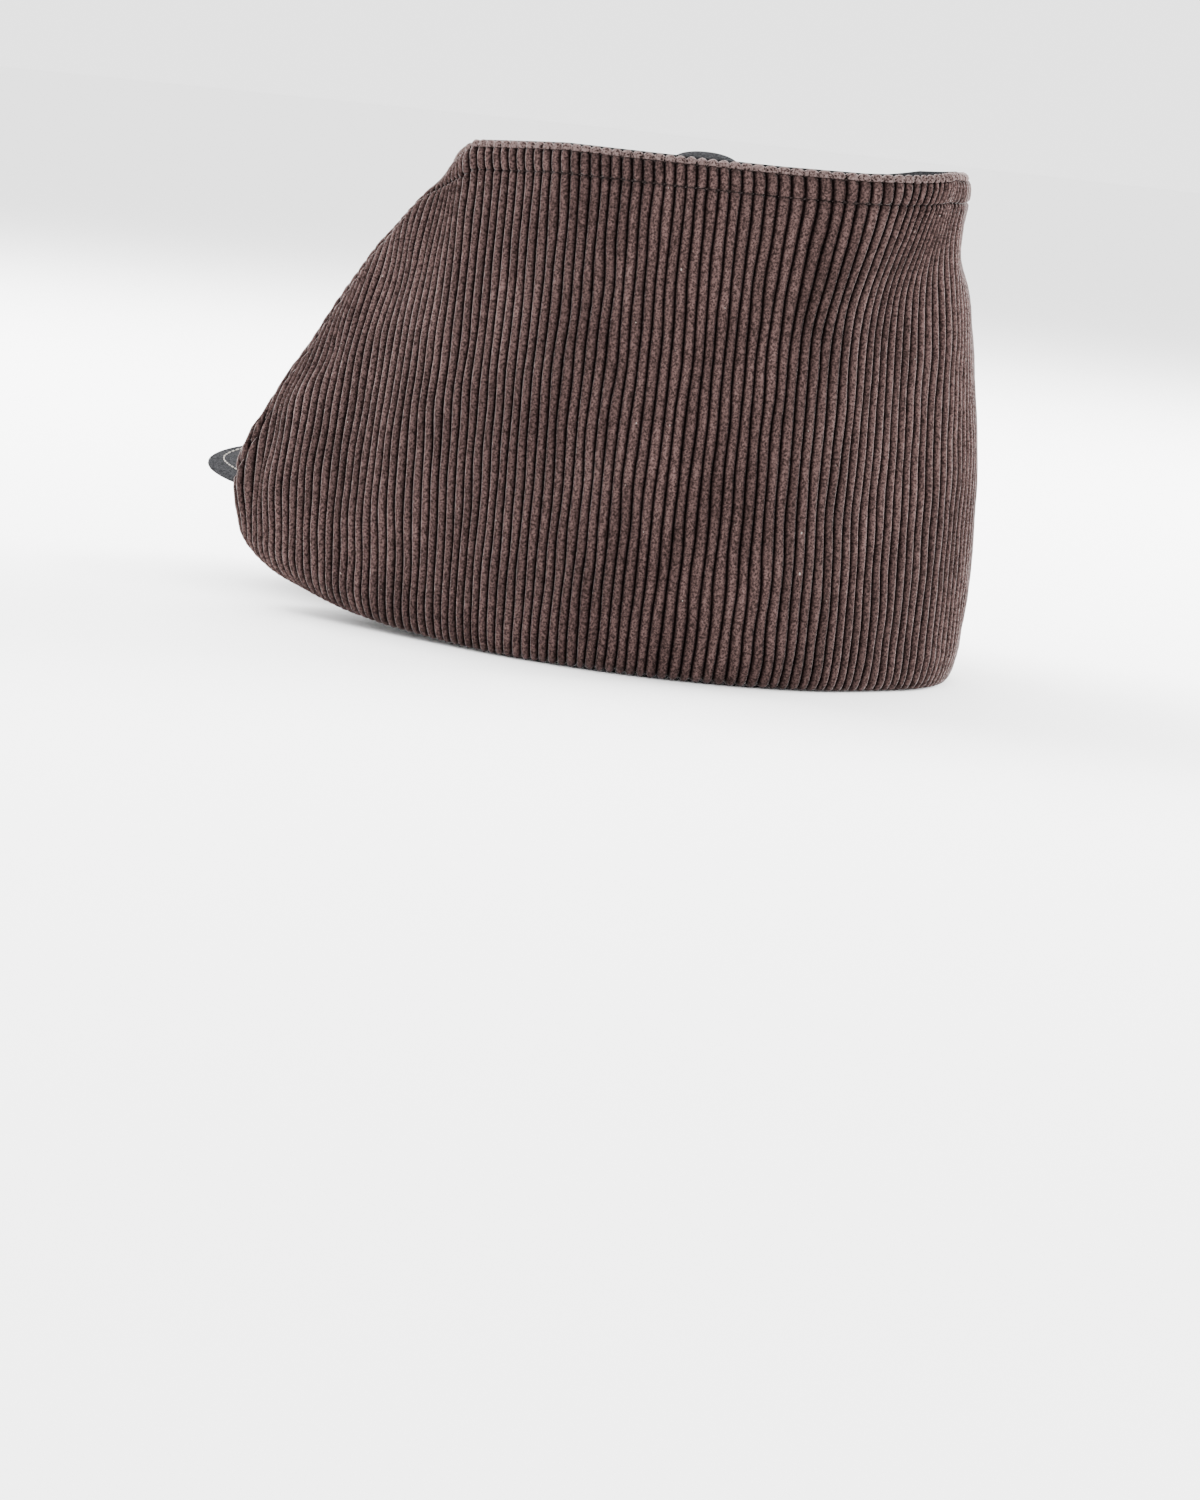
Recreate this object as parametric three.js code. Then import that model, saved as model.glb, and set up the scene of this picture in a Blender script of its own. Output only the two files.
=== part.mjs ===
// Wool riding cap with a deep corduroy flap turned up round its sides and back.
// Millimetres, +Z up. The peak points to -Y and the wearer's left is +X. The cap stands on the
// fold of its flap, and the origin is on that surface, under the middle of the whole cap.
import * as THREE from 'three';

// Cloth
const CORDUROY_THICK = 2.0;
const FACING_THICK = 1.4;
const CROWN_THICK = 2.0;
const PEAK_THICK = 2.4;
const SEAM_GAP = 0.3;
const HEADLINE_GAP = 0.4;

// Head opening: the outer face of the crown at its lower edge, measured from the crown's own centre
const CROWN_HALF_WIDTH = 80;
const CROWN_HALF_LENGTH = 101;
const CROWN_CENTRE_Y = 18;
const CROWN_PLAN_POWER = 2.3;

// Crown dome
const CROWN_TOP_Z = 139;
const CROWN_TOP_SHIFT = 19;
const CROWN_DOME_POWER = 2.4;
const CROWN_TIP_SCALE = 0.045;
const HEADLINE_BACK_Z = 20;
const HEADLINE_FRONT_RISE = 14;
const HEADLINE_RISE_START_Y = 9;
const CROWN_PANELS = ['back_left', 'side_left', 'front_left', 'front_right', 'side_right', 'back_right'];
const PANEL_STEPS_ROUND = 7;
const PANEL_STEPS_UP = 9;

// Flap: rows run from the centre back to the front end, and mirror to the other side. along is the
// distance along the cloth, low to rim give the outer face in plan at five heights, rimZ and foldZ
// the height of the hemmed edge and of the fold, and rightRise how much higher the hemmed edge
// stands on the wearer's right.
const FLAP_ROWS = [
  { along: 0, lowX: 0, lowY: 127.5, midX: 0, midY: 123.5, highX: 0, highY: 121.5,
    browX: 0, browY: 126.4, rimX: 0, rimY: 130, rimZ: 146.8, rightRise: 0, foldZ: 0 },
  { along: 8, lowX: 9, lowY: 127.2, midX: 8.5, midY: 123.5, highX: 8, highY: 121.3,
    browX: 7.4, browY: 124.5, rimX: 7, rimY: 127, rimZ: 145.7, rightRise: 1.8, foldZ: 0 },
  { along: 22, lowX: 23.5, lowY: 125.5, midX: 23, midY: 122.5, highX: 22, highY: 120,
    browX: 20.8, browY: 119.9, rimX: 20, rimY: 120, rimZ: 144.7, rightRise: 2.6, foldZ: 0 },
  { along: 45, lowX: 45, lowY: 114.5, midX: 45, midY: 113, highX: 41.5, highY: 108,
    browX: 38.8, browY: 105.2, rimX: 37, rimY: 103.5, rimZ: 144.2, rightRise: 3.1, foldZ: 0 },
  { along: 72, lowX: 65.5, lowY: 94.5, midX: 64.5, midY: 94, highX: 61, highY: 90,
    browX: 59.1, browY: 87.8, rimX: 58, rimY: 86.5, rimZ: 144.3, rightRise: 3.0, foldZ: 0 },
  { along: 108, lowX: 80.5, lowY: 62.5, midX: 81, midY: 62, highX: 78, highY: 58.5,
    browX: 76.9, browY: 57, rimX: 76.5, rimY: 56, rimZ: 143.7, rightRise: 2.4, foldZ: 0 },
  { along: 140, lowX: 86, lowY: 32.5, midX: 88.5, midY: 32, highX: 84.5, highY: 28,
    browX: 82.8, browY: 27, rimX: 82.3, rimY: 26, rimZ: 142.6, rightRise: 0, foldZ: 1 },
  { along: 151, lowX: 87.3, lowY: 21.5, midX: 89.8, midY: 21, highX: 84.5, highY: 17,
    browX: 82, browY: 15.5, rimX: 76, rimY: 13, rimZ: 138, rightRise: 0, foldZ: 1.6 },
  { along: 162, lowX: 88.5, lowY: 10.5, midX: 91, midY: 10, highX: 84.5, highY: 6,
    browX: 83.2, browY: 4, rimX: 68, rimY: 4.5, rimZ: 133, rightRise: 0, foldZ: 2.2 },
  { along: 180, lowX: 90, lowY: -7.5, midX: 92, midY: -8, highX: 84.5, highY: -12,
    browX: 80.7, browY: -13.5, rimX: 66.5, rimY: -13.5, rimZ: 118, rightRise: 0, foldZ: 4 },
  { along: 198, lowX: 91, lowY: -25.5, midX: 93, midY: -26, highX: 84.5, highY: -28.5,
    browX: 78, browY: -30, rimX: 65.5, rimY: -30, rimZ: 99, rightRise: 0, foldZ: 7 },
  { along: 212, lowX: 91.5, lowY: -39.5, midX: 93.5, midY: -40, highX: 86, highY: -41.5,
    browX: 77.5, browY: -42.5, rimX: 67, rimY: -43, rimZ: 80, rightRise: 0, foldZ: 10 },
  { along: 224, lowX: 90.5, lowY: -49.5, midX: 92, midY: -50, highX: 90, highY: -50,
    browX: 84, browY: -50, rimX: 76, rimY: -50.5, rimZ: 53, rightRise: 0, foldZ: 14 },
  { along: 238, lowX: 80, lowY: -57, midX: 80.5, midY: -57, highX: 80.5, highY: -57,
    browX: 80.2, browY: -57, rimX: 77.5, rimY: -56.5, rimZ: 39, rightRise: 0, foldZ: 18 },
  { along: 250, lowX: 69, lowY: -58.5, midX: 69, midY: -58.5, highX: 69, highY: -58.5,
    browX: 69, browY: -58.5, rimX: 69, rimY: -58.5, rimZ: 36, rightRise: 0, foldZ: 21 },
];
const WALL_LEVELS = [
  { name: 'low', share: 0 },
  { name: 'mid', share: 0.36 },
  { name: 'high', share: 0.73 },
  { name: 'brow', share: 0.9 },
  { name: 'rim', share: 1 },
];
const FOLD_RISE = 10;
const FOLD_FLAT = 3;
const FOLD_SEAM_ROOM = 1;
const FLAP_STEP = 13;
const FOLD_STEPS = 3;
const WALL_SHARES = [0, 0.12, 0.24, 0.36, 0.5, 0.62, 0.73, 0.82, 0.9, 1];
const FACING_RIM_DROP = 1.5;
const FACING_SEAM_LAP = 2;
const FACING_END_INSET = 1.5;

// Peak: its outer edge from the root corner to the middle of the front
const PEAK_ROWS = [
  { x: 57.5, y: -60.3, z: 31 },
  { x: 61.5, y: -79, z: 32 },
  { x: 57.5, y: -100, z: 33.5 },
  { x: 46, y: -118, z: 35.5 },
  { x: 25, y: -127.5, z: 38 },
  { x: 0, y: -130, z: 38.5 },
];
const PEAK_ROOT_ABOVE_HEADLINE = 3;
const PEAK_CORNER_ANGLE = 2.56;
const PEAK_BULGE = 2.5;
const PEAK_STEPS_ACROSS = 10;
const PEAK_STEPS_OUT = 5;

// Covered button on the crown's top
const BUTTON_RADIUS = 10.5;
const BUTTON_HEIGHT = 6;
const BUTTON_EDGE = 1.6;
const BUTTON_ARC_STEPS = 6;
const BUTTON_SIDES = 24;

function clothMaterial(name, colour) {
  return new THREE.MeshStandardMaterial({ name, color: colour, roughness: 0.95, metalness: 0 });
}

// Value of one column at a distance, smooth through every row
function smoothColumn(rows, key, at, place = 'along') {
  const last = rows.length - 1;
  let i = 0;
  while (i < last - 1 && at > rows[i + 1][place]) i += 1;
  const slope = (k) => {
    const before = rows[Math.max(k - 1, 0)];
    const after = rows[Math.min(k + 1, last)];
    return (after[key] - before[key]) / (after[place] - before[place]);
  };
  const span = rows[i + 1][place] - rows[i][place];
  const t = (at - rows[i][place]) / span;
  const rest = 1 - t;
  return rows[i][key] * rest * rest * (1 + 2 * t)
    + slope(i) * span * t * rest * rest
    + rows[i + 1][key] * t * t * (3 - 2 * t)
    - slope(i + 1) * span * t * t * rest;
}

// Value of one column at a distance, straight between rows, which keeps the hem's corners
function straightColumn(rows, key, at) {
  let i = 0;
  while (i < rows.length - 2 && at > rows[i + 1].along) i += 1;
  const t = (at - rows[i].along) / (rows[i + 1].along - rows[i].along);
  return THREE.MathUtils.lerp(rows[i][key], rows[i + 1][key], t);
}

function mirroredRows(rows, place, mirroredKeys, change = () => {}) {
  const mirror = (row) => {
    const copy = { ...row };
    for (const key of mirroredKeys) copy[key] = -row[key];
    change(copy);
    return copy;
  };
  const other = rows.filter((row) => row[place] !== 0).map(mirror);
  return [...other, ...rows].sort((a, b) => a[place] - b[place]);
}

// Closed wall between two grids of points of the same size
function wallBetween(outer, inner) {
  const across = outer.length;
  const along = outer[0].length;
  const positions = [];
  for (const grid of [outer, inner]) {
    for (const line of grid) {
      for (const point of line) positions.push(point.x, point.y, point.z);
    }
  }
  const outerIndex = (i, j) => i * along + j;
  const innerIndex = (i, j) => across * along + i * along + j;
  const faces = [];
  const quad = (a, b, c, d) => faces.push(a, b, c, a, c, d);
  for (let i = 0; i < across - 1; i += 1) {
    for (let j = 0; j < along - 1; j += 1) {
      quad(outerIndex(i, j), outerIndex(i + 1, j), outerIndex(i + 1, j + 1), outerIndex(i, j + 1));
      quad(innerIndex(i, j), innerIndex(i, j + 1), innerIndex(i + 1, j + 1), innerIndex(i + 1, j));
    }
  }
  for (let i = 0; i < across - 1; i += 1) {
    const end = along - 1;
    quad(outerIndex(i, 0), innerIndex(i, 0), innerIndex(i + 1, 0), outerIndex(i + 1, 0));
    quad(outerIndex(i, end), outerIndex(i + 1, end), innerIndex(i + 1, end), innerIndex(i, end));
  }
  for (let j = 0; j < along - 1; j += 1) {
    const end = across - 1;
    quad(outerIndex(0, j), outerIndex(0, j + 1), innerIndex(0, j + 1), innerIndex(0, j));
    quad(outerIndex(end, j), innerIndex(end, j), innerIndex(end, j + 1), outerIndex(end, j + 1));
  }
  if (enclosedVolume(positions, faces) < 0) faces.reverse();
  const geometry = new THREE.BufferGeometry();
  geometry.setAttribute('position', new THREE.Float32BufferAttribute(positions, 3));
  geometry.setIndex(faces);
  geometry.computeVertexNormals();
  return geometry;
}

function enclosedVolume(positions, faces) {
  const corner = (index) => new THREE.Vector3().fromArray(positions, index * 3);
  let volume = 0;
  for (let i = 0; i < faces.length; i += 3) {
    const [a, b, c] = [corner(faces[i]), corner(faces[i + 1]), corner(faces[i + 2])];
    volume += a.dot(b.cross(c)) / 6;
  }
  return volume;
}

function namedMesh(name, geometry, material) {
  const mesh = new THREE.Mesh(geometry, material);
  mesh.name = name;
  return mesh;
}

// Point of the crown's plan at an angle from the centre back, inset inside its outer face
function crownPlan(angle, scale, inset) {
  const sine = Math.sin(angle);
  const cosine = Math.cos(angle);
  const halfWidth = CROWN_HALF_WIDTH * scale - inset;
  const halfLength = CROWN_HALF_LENGTH * scale - inset;
  const reach = (Math.abs(sine) / halfWidth) ** CROWN_PLAN_POWER
    + (Math.abs(cosine) / halfLength) ** CROWN_PLAN_POWER;
  const radius = reach ** (-1 / CROWN_PLAN_POWER);
  return new THREE.Vector2(radius * sine, radius * cosine);
}

// Height of the seam round the head, which rises to the front where the peak is sewn in
function headlineZ(y) {
  const frontY = CROWN_CENTRE_Y - CROWN_HALF_LENGTH;
  const t = THREE.MathUtils.clamp((HEADLINE_RISE_START_Y - y) / (HEADLINE_RISE_START_Y - frontY), 0, 1);
  return HEADLINE_BACK_Z + HEADLINE_FRONT_RISE * t * t;
}

// rise runs from 0 at the headline to a right angle at the top of the dome
function crownPoint(angle, rise, inset) {
  const base = crownPlan(angle, 1, 0);
  const startZ = headlineZ(CROWN_CENTRE_Y + base.y) + HEADLINE_GAP / 2;
  const scale = Math.cos(rise) ** (2 / CROWN_DOME_POWER);
  const climb = Math.sin(rise) ** (2 / CROWN_DOME_POWER);
  const plan = crownPlan(angle, scale, inset * Math.cos(rise) * scale);
  return new THREE.Vector3(
    plan.x,
    CROWN_CENTRE_Y + CROWN_TOP_SHIFT * climb * climb + plan.y,
    startZ + (CROWN_TOP_Z - startZ) * climb - inset * Math.sin(rise),
  );
}

function crownPanel(name, index, material) {
  const wedge = (2 * Math.PI) / CROWN_PANELS.length;
  const tipRise = Math.acos(CROWN_TIP_SCALE ** (CROWN_DOME_POWER / 2));
  const centre = new THREE.Vector2(0, CROWN_CENTRE_Y);
  const panelGrid = (inset) => {
    const grid = [];
    for (let i = 0; i <= PANEL_STEPS_ROUND; i += 1) {
      const line = [];
      for (let j = 0; j <= PANEL_STEPS_UP; j += 1) {
        const rise = (tipRise * j) / PANEL_STEPS_UP;
        const middle = crownPoint(wedge * (index + 0.5), rise, inset);
        const radius = Math.hypot(middle.x, middle.y - centre.y);
        const seamAngle = SEAM_GAP / 2 / Math.max(radius, CROWN_HALF_WIDTH * CROWN_TIP_SCALE);
        const share = i / PANEL_STEPS_ROUND;
        const angle = THREE.MathUtils.lerp(wedge * index + seamAngle, wedge * (index + 1) - seamAngle, share);
        line.push(crownPoint(angle, rise, inset));
      }
      grid.push(line);
    }
    return grid;
  };
  return namedMesh(name, wallBetween(panelGrid(0), panelGrid(CROWN_THICK)), material);
}

// Section of the flap from the headline seam down round the fold and up to the hem, at a given
// depth inside its outer face. The facing stops just under the rim.
function flapSection(rows, along, depth, seamLap, toRim) {
  const value = (key) => smoothColumn(rows, key, along);
  const rimZ = straightColumn(rows, 'rimZ', along);
  const foldZ = Math.max(0, value('foldZ'));
  const outerLow = new THREE.Vector2(value('lowX'), value('lowY'));
  const angle = Math.atan2(outerLow.x, outerLow.y - CROWN_CENTRE_Y);
  const seam = crownPlan(angle, 1, CROWN_THICK).add(new THREE.Vector2(0, CROWN_CENTRE_Y));
  const outward = outerLow.clone().sub(seam);
  const width = outward.length();
  outward.normalize();
  const at = (reach, z) => new THREE.Vector3(seam.x + outward.x * reach, seam.y + outward.y * reach, z);

  const hollow = width - 2 * depth;
  const flat = Math.min(FOLD_FLAT, 0.4 * hollow);
  const corner = (hollow - flat) / 2;
  const bottomZ = foldZ + depth;
  const seamZ = headlineZ(crownPlan(angle, 1, 0).y + CROWN_CENTRE_Y) - HEADLINE_GAP / 2;
  const innerRise = Math.min(FOLD_RISE, seamZ - foldZ - FOLD_SEAM_ROOM) - depth;
  const outerRise = FOLD_RISE - depth;
  const section = [at(depth, seamZ + seamLap)];
  for (let k = 0; k <= FOLD_STEPS; k += 1) {
    const turn = (Math.PI / 2) * (k / FOLD_STEPS);
    section.push(at(
      depth + corner * (1 - Math.cos(turn)),
      bottomZ + innerRise * (1 - Math.sin(turn)),
    ));
  }
  for (let k = FOLD_STEPS; k > 0; k -= 1) {
    const turn = (Math.PI / 2) * (k / FOLD_STEPS);
    section.push(at(
      width - depth - corner * (1 - Math.cos(turn)),
      bottomZ + outerRise * (1 - Math.sin(turn)),
    ));
  }
  const startZ = foldZ + FOLD_RISE;
  const levels = WALL_LEVELS.map(({ name, share }) => ({ share, x: value(`${name}X`), y: value(`${name}Y`) }));
  const wall = WALL_SHARES.map((share) => new THREE.Vector3(
    smoothColumn(levels, 'x', share, 'share') - outward.x * depth,
    smoothColumn(levels, 'y', share, 'share') - outward.y * depth,
    THREE.MathUtils.lerp(startZ, rimZ, share),
  ));
  const rim = wall.pop();
  const brow = wall[wall.length - 1];
  const rimDrop = Math.min(FACING_RIM_DROP, (rim.z - brow.z) / 2);
  section.push(...wall, rim.clone().lerp(brow, rimDrop / (rim.z - brow.z)));
  if (toRim) section.push(rim);
  return section;
}

function flapStations(rows, endInset) {
  const stations = [];
  for (let i = 0; i < rows.length - 1; i += 1) {
    const from = i === 0 ? rows[i].along + endInset : rows[i].along;
    const to = i === rows.length - 2 ? rows[i + 1].along - endInset : rows[i + 1].along;
    const steps = Math.max(1, Math.round((to - from) / FLAP_STEP));
    for (let k = 0; k < steps; k += 1) stations.push(THREE.MathUtils.lerp(from, to, k / steps));
    if (i === rows.length - 2) stations.push(to);
  }
  return stations;
}

function flapLayer(name, depth, thickness, { seamLap, toRim, endInset }, material) {
  const raise = (row) => { row.rimZ += row.rightRise; };
  const rows = mirroredRows(
    FLAP_ROWS, 'along', ['along', 'lowX', 'midX', 'highX', 'browX', 'rimX'], raise);
  const grid = (inset) => flapStations(rows, endInset)
    .map((along) => flapSection(rows, along, inset, seamLap, toRim));
  return namedMesh(name, wallBetween(grid(depth), grid(depth + thickness)), material);
}

// The peak fans out from the crown's front seam to its outer edge, slightly arched
function peak(material) {
  const edgeRows = mirroredRows(PEAK_ROWS.map((row, i) => ({ ...row, step: PEAK_ROWS.length - 1 - i })),
    'step', ['step', 'x']);
  const reach = PEAK_ROWS.length - 1;
  const grid = (lift) => {
    const lines = [];
    for (let i = 0; i <= 2 * PEAK_STEPS_ACROSS; i += 1) {
      const share = i / PEAK_STEPS_ACROSS - 1;
      const angle = Math.PI - share * (Math.PI - PEAK_CORNER_ANGLE);
      const plan = crownPlan(angle, 1, -SEAM_GAP);
      const rootY = CROWN_CENTRE_Y + plan.y;
      const root = new THREE.Vector3(plan.x, rootY, headlineZ(rootY) + PEAK_ROOT_ABOVE_HEADLINE);
      const edge = new THREE.Vector3(
        smoothColumn(edgeRows, 'x', share * reach, 'step'),
        smoothColumn(edgeRows, 'y', share * reach, 'step'),
        smoothColumn(edgeRows, 'z', share * reach, 'step'),
      );
      const line = [];
      for (let j = 0; j <= PEAK_STEPS_OUT; j += 1) {
        const t = j / PEAK_STEPS_OUT;
        const point = root.clone().lerp(edge, t);
        point.z += lift + PEAK_BULGE * Math.sin(Math.PI * t) * (1 - share * share);
        line.push(point);
      }
      lines.push(line);
    }
    return lines;
  };
  return namedMesh('peak', wallBetween(grid(0), grid(-PEAK_THICK)), material);
}

// Covered button: a low dome with a rounded edge
function button(material) {
  const profile = [new THREE.Vector2(0, 0), new THREE.Vector2(BUTTON_RADIUS - BUTTON_EDGE, 0)];
  for (let k = 0; k <= BUTTON_ARC_STEPS; k += 1) {
    const turn = (Math.PI / 2) * (k / BUTTON_ARC_STEPS);
    profile.push(new THREE.Vector2(
      BUTTON_RADIUS * Math.cos(turn),
      BUTTON_EDGE + (BUTTON_HEIGHT - BUTTON_EDGE) * Math.sin(turn),
    ));
  }
  profile[profile.length - 1].x = 0;
  const mesh = namedMesh('crown_button', new THREE.LatheGeometry(profile, BUTTON_SIDES), material);
  mesh.rotation.x = Math.PI / 2;
  mesh.position.set(0, CROWN_CENTRE_Y + CROWN_TOP_SHIFT, CROWN_TOP_Z + SEAM_GAP);
  return mesh;
}

const cap = new THREE.Group();
const charcoalWool = clothMaterial('charcoal wool', 0x5c5c60);
const brownCorduroy = clothMaterial('brown corduroy', 0x66534f);
CROWN_PANELS.forEach((side, index) => {
  cap.add(crownPanel(`crown_panel_${side}`, index, charcoalWool.clone()));
});
cap.add(button(charcoalWool.clone()));
cap.add(peak(charcoalWool.clone()));
const corduroyEnds = { seamLap: 0, toRim: true, endInset: 0 };
const facingEnds = { seamLap: FACING_SEAM_LAP, toRim: false, endInset: FACING_END_INSET };
cap.add(flapLayer('flap_corduroy', 0, CORDUROY_THICK, corduroyEnds, brownCorduroy));
cap.add(flapLayer('flap_facing', CORDUROY_THICK + SEAM_GAP, FACING_THICK, facingEnds, charcoalWool.clone()));

export default cap;
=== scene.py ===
import math
from collections import namedtuple

import bpy
import numpy as np
from bpy.props import FloatProperty, FloatVectorProperty, PointerProperty
from mathutils import Matrix, Vector


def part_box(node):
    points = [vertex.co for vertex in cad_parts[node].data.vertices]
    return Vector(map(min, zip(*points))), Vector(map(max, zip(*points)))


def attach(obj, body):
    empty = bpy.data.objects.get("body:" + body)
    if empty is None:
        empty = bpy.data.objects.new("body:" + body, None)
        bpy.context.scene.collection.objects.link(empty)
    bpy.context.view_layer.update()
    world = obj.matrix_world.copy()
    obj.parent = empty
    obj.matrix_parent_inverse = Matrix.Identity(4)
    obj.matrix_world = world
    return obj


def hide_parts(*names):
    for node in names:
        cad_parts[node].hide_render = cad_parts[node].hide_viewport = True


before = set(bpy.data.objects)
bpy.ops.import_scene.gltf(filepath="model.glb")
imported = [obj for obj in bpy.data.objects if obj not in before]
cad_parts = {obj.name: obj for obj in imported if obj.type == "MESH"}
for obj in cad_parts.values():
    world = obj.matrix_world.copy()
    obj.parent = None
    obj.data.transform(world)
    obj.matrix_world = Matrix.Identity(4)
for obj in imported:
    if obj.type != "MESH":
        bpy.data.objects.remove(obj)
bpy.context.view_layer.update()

bl_info = {
    "name": "Riding cap",
    "version": (1, 0, 0),
    "blender": (4, 5, 0),
    "location": "View3D > Sidebar > Riding cap",
    "description": "Wool riding cap with a deep corduroy flap turned up round its sides and back",
    "category": "Add Mesh",
}

BODY = "root"
MM = 0.001

# Crown and headline, in millimetres
CROWN_HALF_WIDTH = 80
CROWN_HALF_LENGTH = 101
CROWN_CENTRE_Y = 18
CROWN_PLAN_POWER = 2.3
CROWN_THICK = 2.0
CROWN_TOP_Z = 139
CROWN_TOP_SHIFT = 19
CROWN_DOME_POWER = 2.4
CROWN_TIP_SCALE = 0.045
CROWN_PANELS = ("back_left", "side_left", "front_left", "front_right", "side_right", "back_right")
HEADLINE_BACK_Z = 20
HEADLINE_FRONT_RISE = 14
HEADLINE_RISE_START_Y = 9
HEADLINE_GAP = 0.4
SEAM_OPENING = 0.02

# Flap: rows run from the centre back to the front end and mirror to the other side, in
# millimetres. low, mid, high and rim are the outer face in plan at four heights, and right_rise is
# how much higher the rim stands on the wearer's right.
FlapRow = namedtuple(
    "FlapRow", "along low_x low_y mid_x mid_y high_x high_y rim_x rim_y rim_z fold_z right_rise")
FLAP_ROWS = [
    FlapRow(0, 0, 127.5, 0, 123.5, 0, 121.5, 0, 130, 146.8, 0, 0),
    FlapRow(8, 9, 127.2, 8.5, 123.5, 8, 121.3, 7, 127, 145.7, 0, 1.8),
    FlapRow(22, 23.5, 125.5, 23, 122.5, 22, 120, 20, 120, 144.7, 0, 2.6),
    FlapRow(45, 45, 114.5, 45, 113, 41.5, 108, 37, 103.5, 144.2, 0, 3.1),
    FlapRow(72, 65.5, 94.5, 64.5, 94, 61, 90, 58, 86.5, 144.3, 0, 3.0),
    FlapRow(108, 80.5, 62.5, 81, 62, 78, 58.5, 76.5, 56, 144.5, 0, 1.6),
    FlapRow(140, 86, 32.5, 88.5, 32, 84.5, 28, 82.3, 26, 142.6, 1, 0),
    FlapRow(151, 87.3, 21.5, 89.8, 21, 84.5, 17, 76, 13, 138, 1.6, 0),
    FlapRow(162, 88.5, 10.5, 91, 10, 84.5, 6, 68, 4.5, 133, 2.2, 0),
    FlapRow(180, 90, -7.5, 92, -8, 84.5, -12, 66.5, -13.5, 118, 4, 0),
    FlapRow(198, 91, -25.5, 93, -26, 84.5, -28.5, 65.5, -30, 99, 7, 0),
    FlapRow(212, 91.5, -39.5, 93.5, -40, 86, -41.5, 67, -43, 80, 10, 0),
    FlapRow(224, 90.5, -49.5, 92, -50, 90, -50, 76, -50.5, 53, 14, 0),
    FlapRow(238, 80, -57, 80.5, -57, 80.5, -57, 77.5, -56.5, 39, 18, 0),
    FlapRow(250, 69, -58.5, 69, -58.5, 69, -58.5, 69, -58.5, 36, 21, 0),
]
WALL_SHARES = {"low": 0, "mid": 0.36, "high": 0.73, "brow": 0.9, "rim": 1}

# The brow is a fifth height, just under the rim. These rows give its place in plan, and in the
# other rows it is worked out from the four heights.
BrowRow = namedtuple("BrowRow", "along x y")
BROW_ROWS = [
    BrowRow(108, 76.9, 57),
    BrowRow(140, 82.8, 27),
    BrowRow(151, 82, 15.5),
    BrowRow(162, 83.2, 4),
    BrowRow(180, 80.7, -13.5),
    BrowRow(198, 78, -30),
    BrowRow(212, 77.5, -42.5),
    BrowRow(224, 84, -50),
    BrowRow(238, 80.2, -57),
]

# The flap's section in millimetres, with some shares: depths are under its outer face, and drops
# are under its rim
FOLD_RISE = 10
FOLD_FLAT = 3
FOLD_FLAT_SHARE = 0.4
FOLD_SEAM_ROOM = 1
CORDUROY_FACE_DEPTH = 0.35
CORDUROY_BACK_DEPTH = 2.0
FACING_DEPTH = 2.15
FACING_THICK = 1.45
FACING_STITCH_DROP = 7.6
HEM_ZONE = 12
HEM_ZONE_SHARE = 0.85
HEM_SOFTNESS_AT_RIM = 0.35
STITCH_SINK = 0.55
THREAD_PROUD = 0.35
RIM_REACH = 1.2
END_ROUNDING = 1.4
END_ROUNDING_DEPTH = 0.8
END_FADE_ROOM = 14
END_FADE_WIDTH = 8

# Near the sloping edge the ribs turn to run along it, and they crowd into the corner at the centre
# back. shift is how far the cloth has moved towards the back at the rim, in millimetres, and it
# fades out down the wall.
LeanRow = namedtuple("LeanRow", "along shift")
LEAN_ROWS = [
    LeanRow(0, 0),
    LeanRow(7, 3.2),
    LeanRow(18, 6.5),
    LeanRow(32, 5.5),
    LeanRow(50, 1.5),
    LeanRow(64, 0),
    LeanRow(142, 0),
    LeanRow(152, 3),
    LeanRow(166, 8),
    LeanRow(182, 9),
    LeanRow(198, 7.5),
    LeanRow(212, 4.5),
    LeanRow(224, 1.5),
    LeanRow(234, 0),
    LeanRow(260, 0),
]
LEAN_START_SHARE = 0.62
LEAN_END_SHARE = 0.95

# The ribs' ends stand on the rim, so the cloth under them stops lower
RIB_ROLL = 0.9

# Peak: its outer edge from the root corner to the middle of the front, in millimetres
PeakRow = namedtuple("PeakRow", "x y z")
PEAK_ROWS = [
    PeakRow(57.5, -60.3, 31),
    PeakRow(61.5, -79, 32),
    PeakRow(57.5, -100, 33.5),
    PeakRow(46, -118, 35.5),
    PeakRow(25, -127.5, 38),
    PeakRow(0, -130, 38.5),
]
PEAK_THICK = 2.4
PEAK_ROOT_ABOVE_HEADLINE = 3
PEAK_CORNER_ANGLE = 2.56
PEAK_BULGE = 2.5
PEAK_TUCK = 0.45
PEAK_STITCH_INSET = 5.0

# Covered button: the height of its rolled edge in millimetres, and how far its side goes on under
# the widest place, in radians
BUTTON_BAND = 1.6
BUTTON_UNDERCUT = 0.35
BUTTON_GATHERS = 11
BUTTON_GATHER_DEPTH = 0.16

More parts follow.
